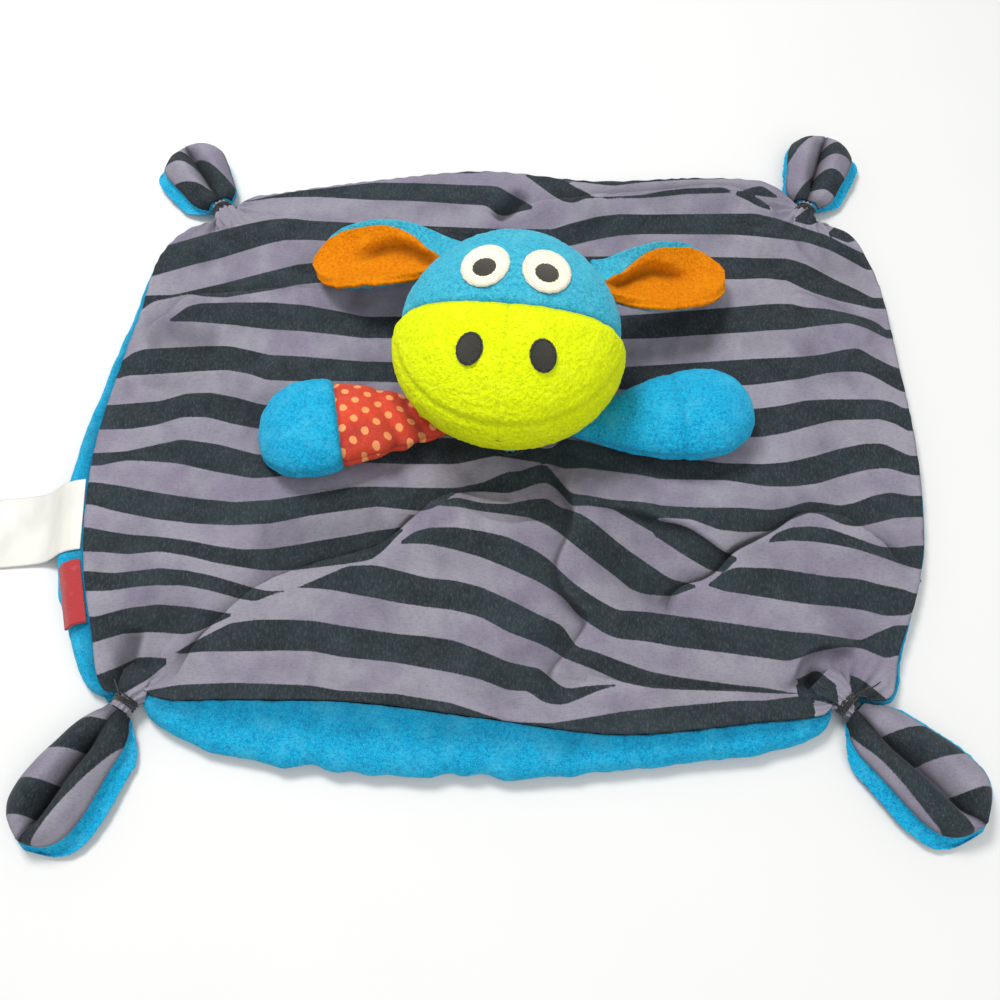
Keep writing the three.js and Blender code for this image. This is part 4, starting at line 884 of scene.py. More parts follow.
def back_grid():
    seam, outer = (np.vstack([lines[k][1:] for lines in EDGES.values()])[::2] for k in (0, 1))
    level = seam * TO_TABLE
    middle = seam.mean(0) * TO_TABLE
    inward = middle - outer
    width = np.linalg.norm(outer - level, axis=1, keepdims=True)
    inward /= np.linalg.norm(inward, axis=1, keepdims=True)
    foot = outer + (HEM_FOOT + FOOT_PER_WIDTH * width) * inward
    rings = [middle + (foot - middle) * share for share in FLAT_RINGS] + [foot]
    height = seam[:, 2:] - COTTON_THICKNESS - BELOW_COTTON - NARROW_HEM_DROP * (1 - smoothstep(width, 2, 6))
    swell = 0.16 * noise_at(level, 30, 2.2)[:, None] + 0.1 * noise_at(level, 9, 8.1)[:, None]
    for rise, reach in curve_points(HEM_PROFILE, HEM_STEPS):
        rim = level + (outer - level) * reach * (1 + swell * min(1, 3 * (1 - rise)))
        rings.append(rim * TO_TABLE + height * rise * (0, 0, 1))
    grid = np.array(rings)
    full = height[None, :, 0]
    pile = FINE_PILE * noise_at(grid, 1.8, 4.4) + BROAD_PILE * noise_at(grid, 6, 6.1)
    grid = lifted(grid, middle + INSIDE_BACK, pile * smoothstep(grid[..., 2] / full, 0.03, 0.15), True)
    grid[..., 2] = np.maximum(grid[..., 2], 0)
    facing = grid_normals(grid, middle + INSIDE_BACK, True)[..., 2]
    room = np.where(facing > -0.2, PLUSH_THICKNESS * (0.2 + np.abs(facing)), 0)
    grid[..., 2] = np.maximum(grid[..., 2], room)
    high = np.clip(grid[..., 2] / full, 0, 1)
    around = 0 * high + 1.6 * np.arange(grid.shape[1])
    streaks = noise_at(np.stack([around, high * 14, 0 * high], -1), 3, 2.4)
    # Painted shade under the cotton's edge near the seam, with darker streaks down the rolled hem
    return grid, 0.5 * smoothstep(high, 0.82, 1) + 0.16 * np.clip(streaks, 0, 1) * smoothstep(high, 0.1, 0.5)


BACK, BACK_SHADE = back_grid()
blanket_back = make_grid("blanket_back", BACK, TURQUOISE, "blanket", "turquoise_plush", closed=True,
                         stands_for=["blanket_backing"], away_from=INSIDE_BACK, thickness=PLUSH_THICKNESS,
                         shade=BACK_SHADE)

# Corner gathers, their thread windings and the tufts beyond. Each row of a gather is how far it lies along
# the heading from the knot, its half width and its half height
GATHER_ROWS = np.array([(-13, 6.5, 1.2), (-9, 7.2, 2.6), (-6, 6.6, 4), (-3, 5, 4.6), (-1.6, 4, 4),
                        (0, 3.6, 3.6), (1.6, 3.6, 3.4), (3.3, 3.4, 3)])
NECK_RADIUS = 4.2
NECK_STEPS = 30
NECK_SIDES = 72
NECK_PLEATS = 11
PLEAT_HEIGHT = 0.11
PLUSH_BELOW = -0.7
TIE_TURNS = 4
TIE_STEPS = 24
TIE_PITCH = 0.8
TIE_THREAD = 0.75
TIE_SINKS = 0.4
THREAD_END = np.linspace(0.36, 0.22, 15)
TUFT_HINGE = 7.75
TUFT_BEND = (-3.5, 4)
TUFT_START = 3.8
TUFT_HEIGHT = 15
TUFT_CREASE = 0.62
TUFT_CREST = 0.46
TUFT_ROWS = 90
TUFT_COLUMNS = 65
TUFT_PLUSH_ROWS = 84
TUFT_SIDES = 96
PLUSH_UNDER_COTTON = 1.6
TUFT_WIDTH_SHARES = [(0, 0.3), (0.09, 0.42), (0.16, 0.62), (0.25, 0.76), (0.4, 0.85), (0.56, 0.95), (0.7, 1),
                     (0.82, 0.96), (0.9, 0.8), (0.96, 0.52), (1, 0.12)]
TUFT_RISE_SHARES = [(0, 0.66), (0.15, 0.7), (0.42, 0.92), (0.6, 1), (0.82, 0.9), (1, 0.6)]
# For each tuft: plush rim on its left and right, and for the stripes of either half the way across them
# in degrees from the X axis, their period and where they start; where the crease runs; the cotton's width
TUFTS = {
    "front_left": {"rims": (5.0, 0.8), "stripes": ((-38, 21, 4), (83, 24, 2)), "crease": 0.0, "width": 27},
    "front_right": {"rims": (2.6, 4.2), "stripes": ((104, 25, 8), (37, 19, 12)), "crease": -0.1, "width": 30},
    "back_right": {"rims": (0.8, 3.6), "stripes": ((140, 26, 12), (84, 19, 14)), "crease": 0.0, "width": 29},
    "back_left": {"rims": (3.8, 0.1), "stripes": ((80, 19, 6), (52, 30, 10)), "crease": -0.05, "width": 28},
}
TIE_ENDS = {
    "front_left": [[(-1, -2, 4.2), (-3, -5, 4), (-4.5, -8, 2)]],
    "front_right": [[(0, 3, 4.2), (1, 7, 5), (2.5, 10.5, 4.2), (3, 13, 5)], [(0, 3, 4), (3, 6, 3)]],
    "back_right": [[(0, -3, 4), (-1.5, -5, 3)]],
    "back_left": [[(0, 3, 4), (-1, 5, 3)]],
}


def in_corner(points, corner):
    """From a corner's own frame, along its heading from the knot, to the row frame."""
    return turned(points, corner["heading"]) + corner["place"]


def gather(name, corner):
    """Pleated neck of both cloths that runs through the tie."""
    reach = np.linspace(GATHER_ROWS[0, 0], GATHER_ROWS[-1, 0], NECK_STEPS)[:, None]
    turn = once_round(NECK_SIDES)
    wide, high = (np.interp(reach, GATHER_ROWS[:, 0], GATHER_ROWS[:, k]) for k in (1, 2))
    pleat = np.cos(NECK_PLEATS * turn + 0.6 * np.sin(reach * 0.7)) * (1 - 0.3 * np.cos(reach))
    pleat = 1 + PLEAT_HEIGHT * pleat
    grid = np.stack([reach + 0 * turn, wide * pleat * np.cos(turn), high * pleat * np.sin(turn)], -1)
    grid = in_corner(grid, corner)
    cotton = (np.sin(turn + 0 * reach) > PLUSH_BELOW)[:-1]
    make_grid(f"gather_{name}", grid, [TURQUOISE, STRIPED], "blanket", "striped_cotton", closed=True,
              away_from=corner["place"], stripe=stripe_distance(grid),
              look_of_face=cotton.astype(int).ravel())


def tie(name, corner):
    """Thread wound round the gather, with its cut ends standing off."""
    turn = np.linspace(0, TIE_TURNS * 2 * np.pi, TIE_TURNS * TIE_STEPS + 1)
    radius = NECK_RADIUS + TIE_THREAD / 2 - TIE_SINKS + 0.15 * np.sin(2.3 * turn)
    along = (turn / (2 * np.pi) - TIE_TURNS / 2) * TIE_PITCH + 0.16 * np.sin(1.7 * turn + 1)
    winding = np.column_stack([along, radius * np.cos(turn), radius * np.sin(turn)])
    parts = [sweep(in_corner(winding, corner), TIE_THREAD / 2)]
    for end in TIE_ENDS[name]:
        parts.append(sweep(in_corner(curve_points(end, len(THREAD_END) - 1), corner), THREAD_END))
    make_piece(f"tie_thread_{name}", *joined(parts), DARK_THREAD, "blanket", "dark_thread",
               stands_for=[f"tie_{name}"])


def tuft_profile(corner, facts, steps):
    share = np.linspace(TUFT_START / corner["length"], 1, steps)[:, None]
    half = value_at(TUFT_WIDTH_SHARES, share) * facts["width"] / 2
    rise = value_at(TUFT_RISE_SHARES, share) * TUFT_HEIGHT
    return share * corner["length"], half, rise, share


def tuft_height(across, rise, share, crease):
    """Height of a tuft's cotton at a place across it, from -1 to 1: two puffed halves and a sharp crease."""
    off = across - crease
    half = np.abs(off) / np.where(off > 0, 1 - crease, 1 + crease)
    depth = TUFT_CREASE * smoothstep(share, 0.1, 0.4) * (1 - 0.9 * smoothstep(share, 0.84, 0.98))
    puff = np.sin(np.pi / 2 * np.minimum(half / TUFT_CREST, 1)) ** 0.8
    fall = 1 - 0.42 * np.clip((half - TUFT_CREST) / (1 - TUFT_CREST), 0, 1) ** 2
    return rise * np.where(half < TUFT_CREST, 1 - depth * (1 - puff), fall)


def tuft_cotton(name, corner, facts, body):
    """A tuft's creased cotton, with the stripes of either half."""
    reach, half, rise, share = tuft_profile(corner, facts, TUFT_ROWS)
    across = np.linspace(-1, 1, TUFT_COLUMNS)[None, :]
    off = across - facts["crease"]
    grid = np.stack([reach + 0 * across, across * half,
                     tuft_height(across, rise, share, facts["crease"]) - NECK_RISE], -1)
    creased = grid * (0.6, 1, 0)
    grid[..., 2] += 0.5 * noise_at(creased, 6, 2.5) + 0.2 * noise_at(creased, 2.6, 6.5)
    ground = turned(grid, corner["heading"])
    stripe = 0
    for (angle, period, start), chosen in zip(facts["stripes"], (off > 0, off <= 0)):
        run = ground @ way(angle) + start + 0.8 * noise_at(ground, 14, 1.1)
        stripe = np.where(chosen, (0.25 - np.abs((run / period) % 1 - 0.5)) * period, stripe)
    # Painted shade along the crease, at the cotton's edges and near the tie
    shade = 0.6 * bell(off * half, 1.1) * smoothstep(share, 0.02, 0.2) + 0.12 * bell(off * half, 3.5)
    shade = shade + 0.4 * smoothstep(np.abs(across), 0.9, 1) + 0.5 * (1 - smoothstep(share, 0.05, 0.22))
    return make_grid(f"tuft_cotton_{name}", ground + corner["place"], STRIPED, body, "striped_cotton",
                     stands_for=[f"tuft_{name}_top"], away_from=BELOW, thickness=COTTON_THICKNESS,
                     stripe=stripe, shade=np.clip(shade, 0, 0.9))


def tuft_plush(name, corner, facts, body):
    """Closed leaf of plush under a tuft's cotton, standing out past its edges as a soft rim."""
    reach, half, rise, share = tuft_profile(corner, facts, TUFT_PLUSH_ROWS)
    left, right = facts["rims"]
    turn = once_round(TUFT_SIDES)
    grow = smoothstep(share, 0.04, 0.3)
    across = np.where(np.cos(turn) > 0, half + left * grow, half + right * grow) * np.cos(turn)
    place = across / np.maximum(half, 0.1)
    cover = tuft_height(np.clip(place, -1, 1), rise, share, facts["crease"]) - PLUSH_UNDER_COTTON
    beyond = np.clip(np.abs(place) - 0.92, 0, 1)
    highest = cover - 2.2 * np.clip(beyond * half / 3, 0, 1.4)
    lowest = 0.5 + 2.5 * np.abs(np.cos(turn)) ** 4 + 2 * (1 - grow)
    bulge = np.sign(np.sin(turn)) * np.abs(np.sin(turn)) ** 0.55
    z = (highest + lowest) / 2 + (highest - lowest) / 2 * bulge
    grid = np.stack([reach + 0 * turn, across, z - NECK_RISE], -1)
    pile = 0.35 * (noise_at(grid, 1.5, 3.3) + noise_at(grid, 4.5, 7.1))
    grid = lifted(grid, np.array([corner["length"] * 0.6, 0, 0]), pile * (np.abs(np.cos(turn)) > 0.7), True)
    grid[..., 2] = np.maximum(grid[..., 2], 0.1 - NECK_RISE)
    return make_grid(f"tuft_plush_{name}", in_corner(capped(grid, (1.5, 0, 0)), corner), TURQUOISE, body,
                     "turquoise_plush", closed=True, stands_for=[f"tuft_{name}_back"])


for name, corner in CORNERS.items():
    gather(name, corner)
    tie(name, corner)
    bend = in_corner([(TUFT_HINGE + step, 0, 0) for step in TUFT_BEND], corner)
    body = ("blanket", f"tuft_{name}", *bend)
    [make(name, corner, TUFTS[name], body) for make in (tuft_cotton, tuft_plush)]


# Head: plush covers that sink into their seams. Each has its node, where it starts and ends round the head in
# quarter turns from the face, its seams and the seam that is barely seen
SEAM_DEPTH = 1.1
SEAM_WIDTH = 1.5
SEAM_SHADE = 0.4
WEAK_SEAM_DEPTH = 0.35
WEAK_SEAM_WIDTH = 1.0
WEAK_SEAM_SHADE = 0.08
QUARTER = math.pi / 2
TIP = 0.003
PROUD = 1.5
MUZZLE_TUCK = 0.5
CROWN_TUCK = 1.0
CHIN_DEPTH = 0.65
CHIN_WIDTH = 1.5
CHIN_SHADE = 0.3
COVER_ROWS = 108
COVER_COLUMNS_PER_RADIAN = 64
COVERS = [
    ("crown_cover", "head_crown", (-1, 1), ["last", "left", "right"], []),
    ("back_cover", "head_back", (1, 3), ["last", "left", "right"], []),
    ("muzzle_left_cover", "muzzle_left", (-1, 0), ["first"], ["right"]),
    ("muzzle_right_cover", "muzzle_right", (0, 1), ["first"], ["left"]),
    ("chin_cover", "muzzle_chin", (1, 3), ["first"], []),
]


def in_head(points):
    return turned(points, HEAD_YAW) + HEAD_PLACE


def head_point(polar, around):
    """Place on the head's form, polar from its crown and around from its face."""
    taper = 1 - CROWN_TAPER * np.cos(polar)
    return np.stack([np.sin(polar) * np.sin(around) * HEAD_HALF[0] * taper,
                     np.cos(polar) * HEAD_HALF[1] + 0 * around,
                     np.sin(polar) * np.cos(around) * HEAD_HALF[2]], -1)


def sunk(grid, inside, seams, depth=SEAM_DEPTH, width=SEAM_WIDTH):
    """The grid drawn in along its seams."""
    return lifted(grid, inside, -depth * bell(distance_from_edges(grid, seams), width))


def pile_on(grid, inside, fine=0.28, broad=0.3, seed=0.0):
    return lifted(grid, inside, fine * noise_at(grid, 1.4, seed) + broad * noise_at(grid, 5, seed + 3))


def head_cover(name, node, quarters, seams, weak):
    """One cover of the head, from its crown down to the muzzle's seam or from there to the chin."""
    upper = "last" in seams
    start, end = (quarter * QUARTER for quarter in quarters)
    turn = np.linspace(start, end, int((end - start) * COVER_COLUMNS_PER_RADIAN))[None, :]
    seam = np.arccos((MUZZLE_SEAM + SEAM_ARC * np.sin(turn) ** 2) / HEAD_HALF[1])
    share = np.linspace(0, 1, COVER_ROWS)[:, None]
    grid = head_point(TIP + (seam - TIP) * share if upper else seam + (math.pi - TIP - seam) * share, turn)
    centre = np.zeros(3)
    chin_line = CHIN_DEPTH * bell(grid[..., 2] - CHIN_LINE, CHIN_WIDTH) * smoothstep(-grid[..., 1], 8, 22)
    gap = distance_from_edges(grid, seams[:1])
    if upper:
        lift = -CROWN_TUCK * bell(gap, 8)
    else:
        tuck = MUZZLE_TUCK * np.abs(np.sin(turn)) ** 3 * bell(gap, 14)
        lift = PROUD * (1 - bell(gap, 4)) * bell(gap, 26) - chin_line - tuck
    grid = sunk(lifted(grid, centre, lift), centre, seams)
    grid = sunk(grid, centre, weak, WEAK_SEAM_DEPTH, WEAK_SEAM_WIDTH)
    # Painted shade in the seams' grooves and along the chin line
    dark = SEAM_SHADE * bell(distance_from_edges(grid, seams), 1.1) + CHIN_SHADE * chin_line
    dark = dark + WEAK_SEAM_SHADE * bell(distance_from_edges(grid, weak), 0.8)
    look, slot = (CROWN_PLUSH, "turquoise_plush") if upper else (LIME, "lime_plush")
    return make_grid(name, in_head(pile_on(grid, centre)), look, "head", slot, stands_for=[node],
                     away_from=HEAD_PLACE, shade=dark)


head_covers = [head_cover(*cover) for cover in COVERS]


def filling(name, grid, body, node):
    return make_grid(name, capped(grid), FILLING, body, "fibre_filling", closed=True, stands_for=[node])


FILLING_SHARE = 0.93
filling_of_head = filling("head_filling", in_head(FILLING_SHARE * head_point(
    np.linspace(0.05, math.pi - 0.05, 40)[:, None], once_round(64))), "head", "head_stuffing")


def on_face(x, y, lift):
    """Place over the face at head coordinates x and y, lifted off the head's form."""
    up = y / HEAD_HALF[1]
    across = x / (HEAD_HALF[0] * (1 - CROWN_TAPER * up))
    out = np.sqrt(np.clip(1 - across ** 2 - up ** 2, 0.02, 1))
    place = np.stack([x, y, out * HEAD_HALF[2]], -1)
    normal = np.stack([across / HEAD_HALF[0], up / HEAD_HALF[1], out / HEAD_HALF[2]], -1)
    normal /= np.linalg.norm(normal, axis=-1, keepdims=True)
    return place + normal * lift[..., None]


def face_disc(name, look, slot, node, centre, size, lift, dome, ragged=0.0):
    """An oval patch that follows the face, with its rim turned down to the head."""
    share = np.append(np.linspace(0.02, 1, 22), [1.0, 0.99])[:, None]
    turn = once_round(96)
    edge = 1 + ragged * np.sin(turn * 23 + 2 * np.sin(5 * turn)) * share ** 4
    height = lift + dome * (1 - share ** 2) + 0 * turn
    height[-2] = lift - 0.5
    height[-1] = min(lift - 1.0, 0)
    height = height + 0.08 * np.sin(turn * 31 + share * 9) * share
    grid = on_face(centre[0] + share * edge * size[0] / 2 * np.cos(turn),
                   centre[1] + share * edge * size[1] / 2 * np.sin(turn), height)
    make_grid(name, in_head(capped(grid)[:-1]), look, "head", slot, stands_for=[node], closed=True,
              away_from=HEAD_PLACE)


def face_ring(name, look, slot, centre, size, width, height, threads, base=0.1):
    """Satin stitched border: a low arch round an oval, ribbed by its threads."""
    arch = np.linspace(0, np.pi, 9)[:, None]
    turn = once_round(threads * 4)
    rib = 0.5 + 0.5 * np.cos(turn * threads)
    inner = -np.cos(arch) * width / 2 * (1 + 0.08 * np.sin(17 * turn))
    lift = base + np.sin(arch) * (height + 0.22 * rib)
    grid = on_face(centre[0] + (size[0] / 2 + inner) * np.cos(turn),
                   centre[1] + (size[1] / 2 + inner) * np.sin(turn), lift)
    make_grid(name, in_head(grid), look, "head", slot, closed=True, away_from=HEAD_PLACE)


FACE_SIDEWAYS = 0.9
EYE_SIZE = np.array([17.4, 21.6])
EYE_BORDER_INSET = 1.4
EYE_SPREAD = 11.3
EYE_PLACE = 10.4
PUPIL_SIZE = (8.4, 9.0)
PUPIL_DROP = 2.2
NOSTRIL_SIZE = np.array([9.2, 10.6])
NOSTRIL_BORDER_INSET = 1.2
NOSTRIL_SPREAD = 12.9
NOSTRIL_PLACE = -24.5
for side, across in (("left", -1), ("right", 1)):
    eye = (FACE_SIDEWAYS + across * EYE_SPREAD, EYE_PLACE)
    pupil = (eye[0], EYE_PLACE - PUPIL_DROP)
    nostril = (FACE_SIDEWAYS + across * NOSTRIL_SPREAD, NOSTRIL_PLACE)
    face_disc(f"eye_disc_{side}", FELT, "eye_felt", f"eye_{side}", eye, EYE_SIZE, 0.65, 0.25)
    face_ring(f"eye_border_{side}", BORDER_THREAD, "eye_felt", eye, EYE_SIZE - EYE_BORDER_INSET, 2.1, 0.75,
              84)
    face_disc(f"pupil_patch_{side}", EMBROIDERY, "dark_thread", f"pupil_{side}", pupil, PUPIL_SIZE, 1.1, 0.4,
              0.045)
    face_disc(f"nostril_patch_{side}", EMBROIDERY, "dark_thread", f"nostril_{side}", nostril, NOSTRIL_SIZE,
              1.7, 0.35, 0.02)
    face_ring(f"nostril_border_{side}", DARK_THREAD, "dark_thread", nostril,
              NOSTRIL_SIZE - NOSTRIL_BORDER_INSET, 1.6, 0.9, 60, 0.9)

# Neck gather under the head and the thread round its foot
NECK_GATHER_RADIUS = 7
NECK_GATHER_PLACE = np.array([0.8, 3.0, 0.0])
NECK_GATHER_FOOT = 8.8
NECK_GATHER_TOP = 24
NECK_GATHER_BEND = (9, 14)
NECK_THREAD = 0.55
NECK_THREAD_OFF = 0.9
NECK_THREAD_HEIGHT = 9.3
NECK_STITCHES = 24


def neck_gather():
    turn = once_round(96)
    share = np.linspace(0, 1, 14)[:, None]
    radius = (NECK_GATHER_RADIUS - 0.5) * (1 + 0.06 * np.cos(14 * turn) - 0.1 * np.sin(np.pi * share))
    x = NECK_GATHER_PLACE[0] + radius * np.cos(turn)
    y = NECK_GATHER_PLACE[1] + radius * np.sin(turn)
    under_head = head_underside(np.stack([x, y], -1).reshape(-1, 2)).reshape(x.shape) - 0.2
    z = NECK_GATHER_FOOT + share * (np.minimum(under_head, NECK_GATHER_TOP) - NECK_GATHER_FOOT)
    bend = [NECK_GATHER_PLACE + (0, 0, height) for height in NECK_GATHER_BEND]
    make_grid("neck_gather", np.stack([x, y, z], -1), TURQUOISE, ("neck", "head", *bend), "turquoise_plush",
              closed=True, stands_for=["neck"], away_from=bend[1])


def neck_thread():
    turn = once_round(96)[0]
    radius = NECK_GATHER_RADIUS + NECK_THREAD_OFF + 0.15 * np.cos(NECK_STITCHES * turn)
    height = NECK_THREAD_HEIGHT + 0.2 * np.sin(NECK_STITCHES * turn)
    ring = np.column_stack([radius * np.cos(turn), radius * np.sin(turn), height])
    make_piece("neck_thread", *sweep(NECK_GATHER_PLACE + ring, NECK_THREAD), DARK_THREAD, "neck",
               "dark_thread", stands_for=["neck_stitch"])


neck_gather()
neck_thread()

# Ears: a cupped plush back, rolled over at its root, with a folded lining in it. Each table is by the share
# of the length: half widths of either layer to the far and near side, the cup's depth and where the fold runs
EAR_LENGTH = 68
EAR_WIDTH = 32
EAR_CUP = 8
EAR_TILT = 0.42
EAR_LINING = 1.4
EAR_BACK = 2.2
EAR_BEND = np.array([0.02, 0.22])
EAR_VALLEY = 2.6
EAR_LIP = 1.5
EAR_ROLL = 2.6
EAR_ROWS = 96
EAR_COLUMNS = 72
UNDER_EARS = np.array([0, 0, 80])
EAR_PLUSH_FAR = [(0, 9), (0.1, 10), (0.2, 11), (0.34, 12.4), (0.48, 13.4), (0.62, 14), (0.76, 13.8),
                 (0.88, 12.4), (0.95, 9), (1, 2.6)]
EAR_PLUSH_NEAR = [(0, 6), (0.1, 6.6), (0.2, 8.2), (0.34, 10.6), (0.48, 12.2), (0.62, 12.8), (0.76, 11.6),
                  (0.88, 8.6), (0.95, 5.2), (1, 1.2)]
EAR_LINING_FAR = [(0, -3), (0.1, -1), (0.2, 2.4), (0.34, 7.6), (0.48, 10.4), (0.62, 11.4), (0.76, 11.4),
                  (0.88, 10.2), (0.95, 7.4), (1, 2)]
EAR_LINING_NEAR = [(0, 8), (0.1, 8.8), (0.2, 10.8), (0.34, 13.8), (0.48, 15.6), (0.62, 16.2), (0.76, 15),
                   (0.88, 11.8), (0.95, 8), (1, 2.2)]
EAR_CUP_SHARES = [(0, 0), (0.09, 0.25), (0.34, 1), (0.62, 1), (1, 0.5)]
EAR_FOLD = [(0, -3.5), (0.2, -0.5), (0.34, 3.4), (0.48, 5), (0.62, 3.4), (0.76, 1), (1, 0)]
EARS = {
    "left": {"across": -1, "root": 50, "leaving": 19, "heading": 11, "droop": 22, "share": 1},
    "right": {"across": 1, "root": 43, "leaving": 11, "heading": 28, "droop": 21, "share": 0.95},
}


def ear_centre(ear, shares):
    """Places and unit directions along an ear's middle line, in the head's frame."""
    def towards(degrees):
        return way(degrees) * (ear["across"], 1, 1)

    narrowed = 1 - CROWN_TAPER * way(ear["root"])[1]
    seat = towards(ear["root"]) * HEAD_HALF * (narrowed, 1, 0) + (0, 0, 0.5)
    length = EAR_LENGTH * ear["share"]
    level, drop, _ = way(ear["droop"]) * length
    bend = seat + towards(ear["leaving"]) * 0.4 * length - (0, 0, 0.55 * drop)
    tip = seat + towards(ear["heading"]) * level - (0, 0, drop)
    t = shares[:, None]
    place = seat * (1 - t) ** 2 + bend * 2 * t * (1 - t) + tip * t ** 2
    ahead = (bend - seat) * (1 - t) + (tip - bend) * t
    return place, ahead / np.linalg.norm(ahead, axis=1, keepdims=True)


def ear_layer(ear, lift, far, near):
    """Points of one layer of an ear, lifted off its middle surface, and the painted shade of each
    in the fold's valley and near the root.
    """
    shares = np.linspace(0, 1, EAR_ROWS)
    place, ahead = ear_centre(ear, shares)
    back = np.cross([0, 0, 1], ahead) * ear["across"]
    back /= np.linalg.norm(back, axis=1, keepdims=True)
    normal = np.cross(ahead, back) * ear["across"]
    t = shares[:, None]
    across = np.linspace(0, 1, EAR_COLUMNS)[None, :]
    y = value_at(far, t) * across - value_at(near, t) * (1 - across)
    reach = y / EAR_WIDTH * 2
    rise = value_at(EAR_CUP_SHARES, t) * EAR_CUP * (reach ** 2 + EAR_TILT * reach)
    gap = y - value_at(EAR_FOLD, t)
    present = smoothstep(t, 0.04, 0.2) * (1 - smoothstep(t, 0.58, 0.8))
    valley = present * bell(gap, np.where(gap > 0, 1.3, 3.4))
    lip = present * smoothstep(gap, 0.4, 2.4) * bell(gap - 2.4, 5)
    rolled = smoothstep(0.5 - across, 0.36, 0.5)
    root = (1 - smoothstep(t, 0, 0.22)) * bell(gap, 4)
    out = rise + lift - EAR_VALLEY * valley + EAR_LIP * lip - EAR_ROLL * rolled
    points = place[:, None] + back[:, None] * y[..., None] + normal[:, None] * out[..., None]
    # Painted shade in the fold's valley and near the root
    return points, np.clip(0.72 * valley + 0.4 * root, 0, 0.85)


def make_ear(side, ear):
    """Lining and plush back of an ear."""
    body = ("head", f"ear_{side}", *in_head(ear_centre(ear, EAR_BEND)[0]))
    away_from = HEAD_PLACE - UNDER_EARS
    # depth is the lining's painted shade, in the fold's valley and near the root
    lining, depth = ear_layer(ear, 0.3 + EAR_LINING, EAR_LINING_FAR, EAR_LINING_NEAR)
    outer, _ = ear_layer(ear, 0.2, EAR_PLUSH_FAR, EAR_PLUSH_NEAR)
    inside = lining.mean((0, 1)) - UNDER_EARS
    lining = in_head(pile_on(lining, inside, 0.25, 0.35, 2.0))
    outer = in_head(pile_on(outer, inside, 0.25, 0.3, 5.0))
    return (make_grid(f"ear_lining_{side}", lining, ORANGE, body, "orange_plush", away_from=away_from,
                      stands_for=[f"ear_{side}_lining"], thickness=EAR_LINING, shade=depth),
            make_grid(f"ear_plush_{side}", outer, CROWN_PLUSH, body, "turquoise_plush", away_from=away_from,
                      stands_for=[f"ear_{side}_back"], thickness=EAR_BACK))


ears = {side: make_ear(side, ear) for side, ear in EARS.items()}

# Arms: stuffed limbs that swell from a flat root to a round paw
ARM_LENGTH = 82
ARM_WIDTH = 40
ARM_THICKNESS = 21
ARM_CROSS_SEAM = 0.6
ARM_LIFT = 1.2
ARM_THICKNESS_SHARES = [(0, 0.11), (0.1, 0.2), (0.2, 0.38), (0.3, 0.6), (0.42, 0.82), (0.54, 0.96), (0.66, 1),
                        (0.78, 1), (0.88, 0.86), (0.95, 0.62), (0.985, 0.36), (1, 0.04)]
ARM_LIFT_SHARES = [(0, 1), (0.2, 0), (1, 0)]
# Each arm's root, direction and, by the share of its length, its half width on the far and near side
ARMS = {
    "left": {"root": (-17, 11, 8.7), "yaw": 189.5, "far": [
        (0, 0.34), (0.1, 0.38), (0.2, 0.47), (0.3, 0.6), (0.42, 0.75), (0.54, 0.87), (0.66, 1), (0.78, 1.02),
        (0.88, 0.9), (0.95, 0.64), (0.985, 0.36), (1, 0.04)], "near": [
        (0, 0.34), (0.1, 0.38), (0.2, 0.47), (0.3, 0.6), (0.42, 0.76), (0.54, 0.88), (0.66, 1), (0.78, 1.02),
        (0.88, 0.88), (0.95, 0.6), (0.985, 0.34), (1, 0.04)]},
    "right": {"root": (17, 1.5, 8.7), "yaw": 6.5, "far": [
        (0, 0.3), (0.1, 0.4), (0.2, 0.5), (0.3, 0.62), (0.42, 0.76), (0.54, 0.88), (0.66, 0.95), (0.78, 0.94),
        (0.88, 0.82), (0.95, 0.62), (0.985, 0.4), (1, 0.06)], "near": [
        (0, -0.16), (0.1, 0.02), (0.2, 0.24), (0.3, 0.5), (0.42, 0.76), (0.54, 0.92), (0.66, 1), (0.78, 0.96),
        (0.88, 0.76), (0.95, 0.46), (0.985, 0.24), (1, 0.04)]},
}
ARM_PIECES = {"left": ("sleeve", "paw"), "right": ("upper", "hand")}
ARM_ROW = 0.7
ARM_SIDES = 76
ARM_FLOOR = 8.72
ARM_SEAM_DEPTH = 1.0
ARM_SEAM_WIDTH = 1.3
FAINT_SEAM_DEPTH = 0.45
SLEEVE_CREASE = 0.75
CREASES_FROM_ROOT = 22
CREASE_REACH = 15
PAW_SWELL = 1.1
ARM_FILLING = np.linspace(0.34, 0.93, 30)
ARM_FILLING_INSET = 2.2


def limb(arm, shares, turns, inset=0.0):
    """Points of an arm's form at shares of its length and turns round it."""
    shares = shares[:, None]
    far, near = (value_at(arm[side], shares) * ARM_WIDTH / 2 - inset for side in ("far", "near"))
    if way(arm["yaw"])[0] < 0:
        far, near = near, far
    half_height = value_at(ARM_THICKNESS_SHARES, shares) * ARM_THICKNESS / 2
    middle = half_height + value_at(ARM_LIFT_SHARES, shares) * ARM_LIFT
    local = np.stack([shares * ARM_LENGTH + 0 * turns, (far - near) / 2 + np.cos(turns) * (far + near) / 2,
                      middle + np.sin(turns) * (half_height - inset)], -1)
    return turned(local, arm["yaw"]) + arm["root"]


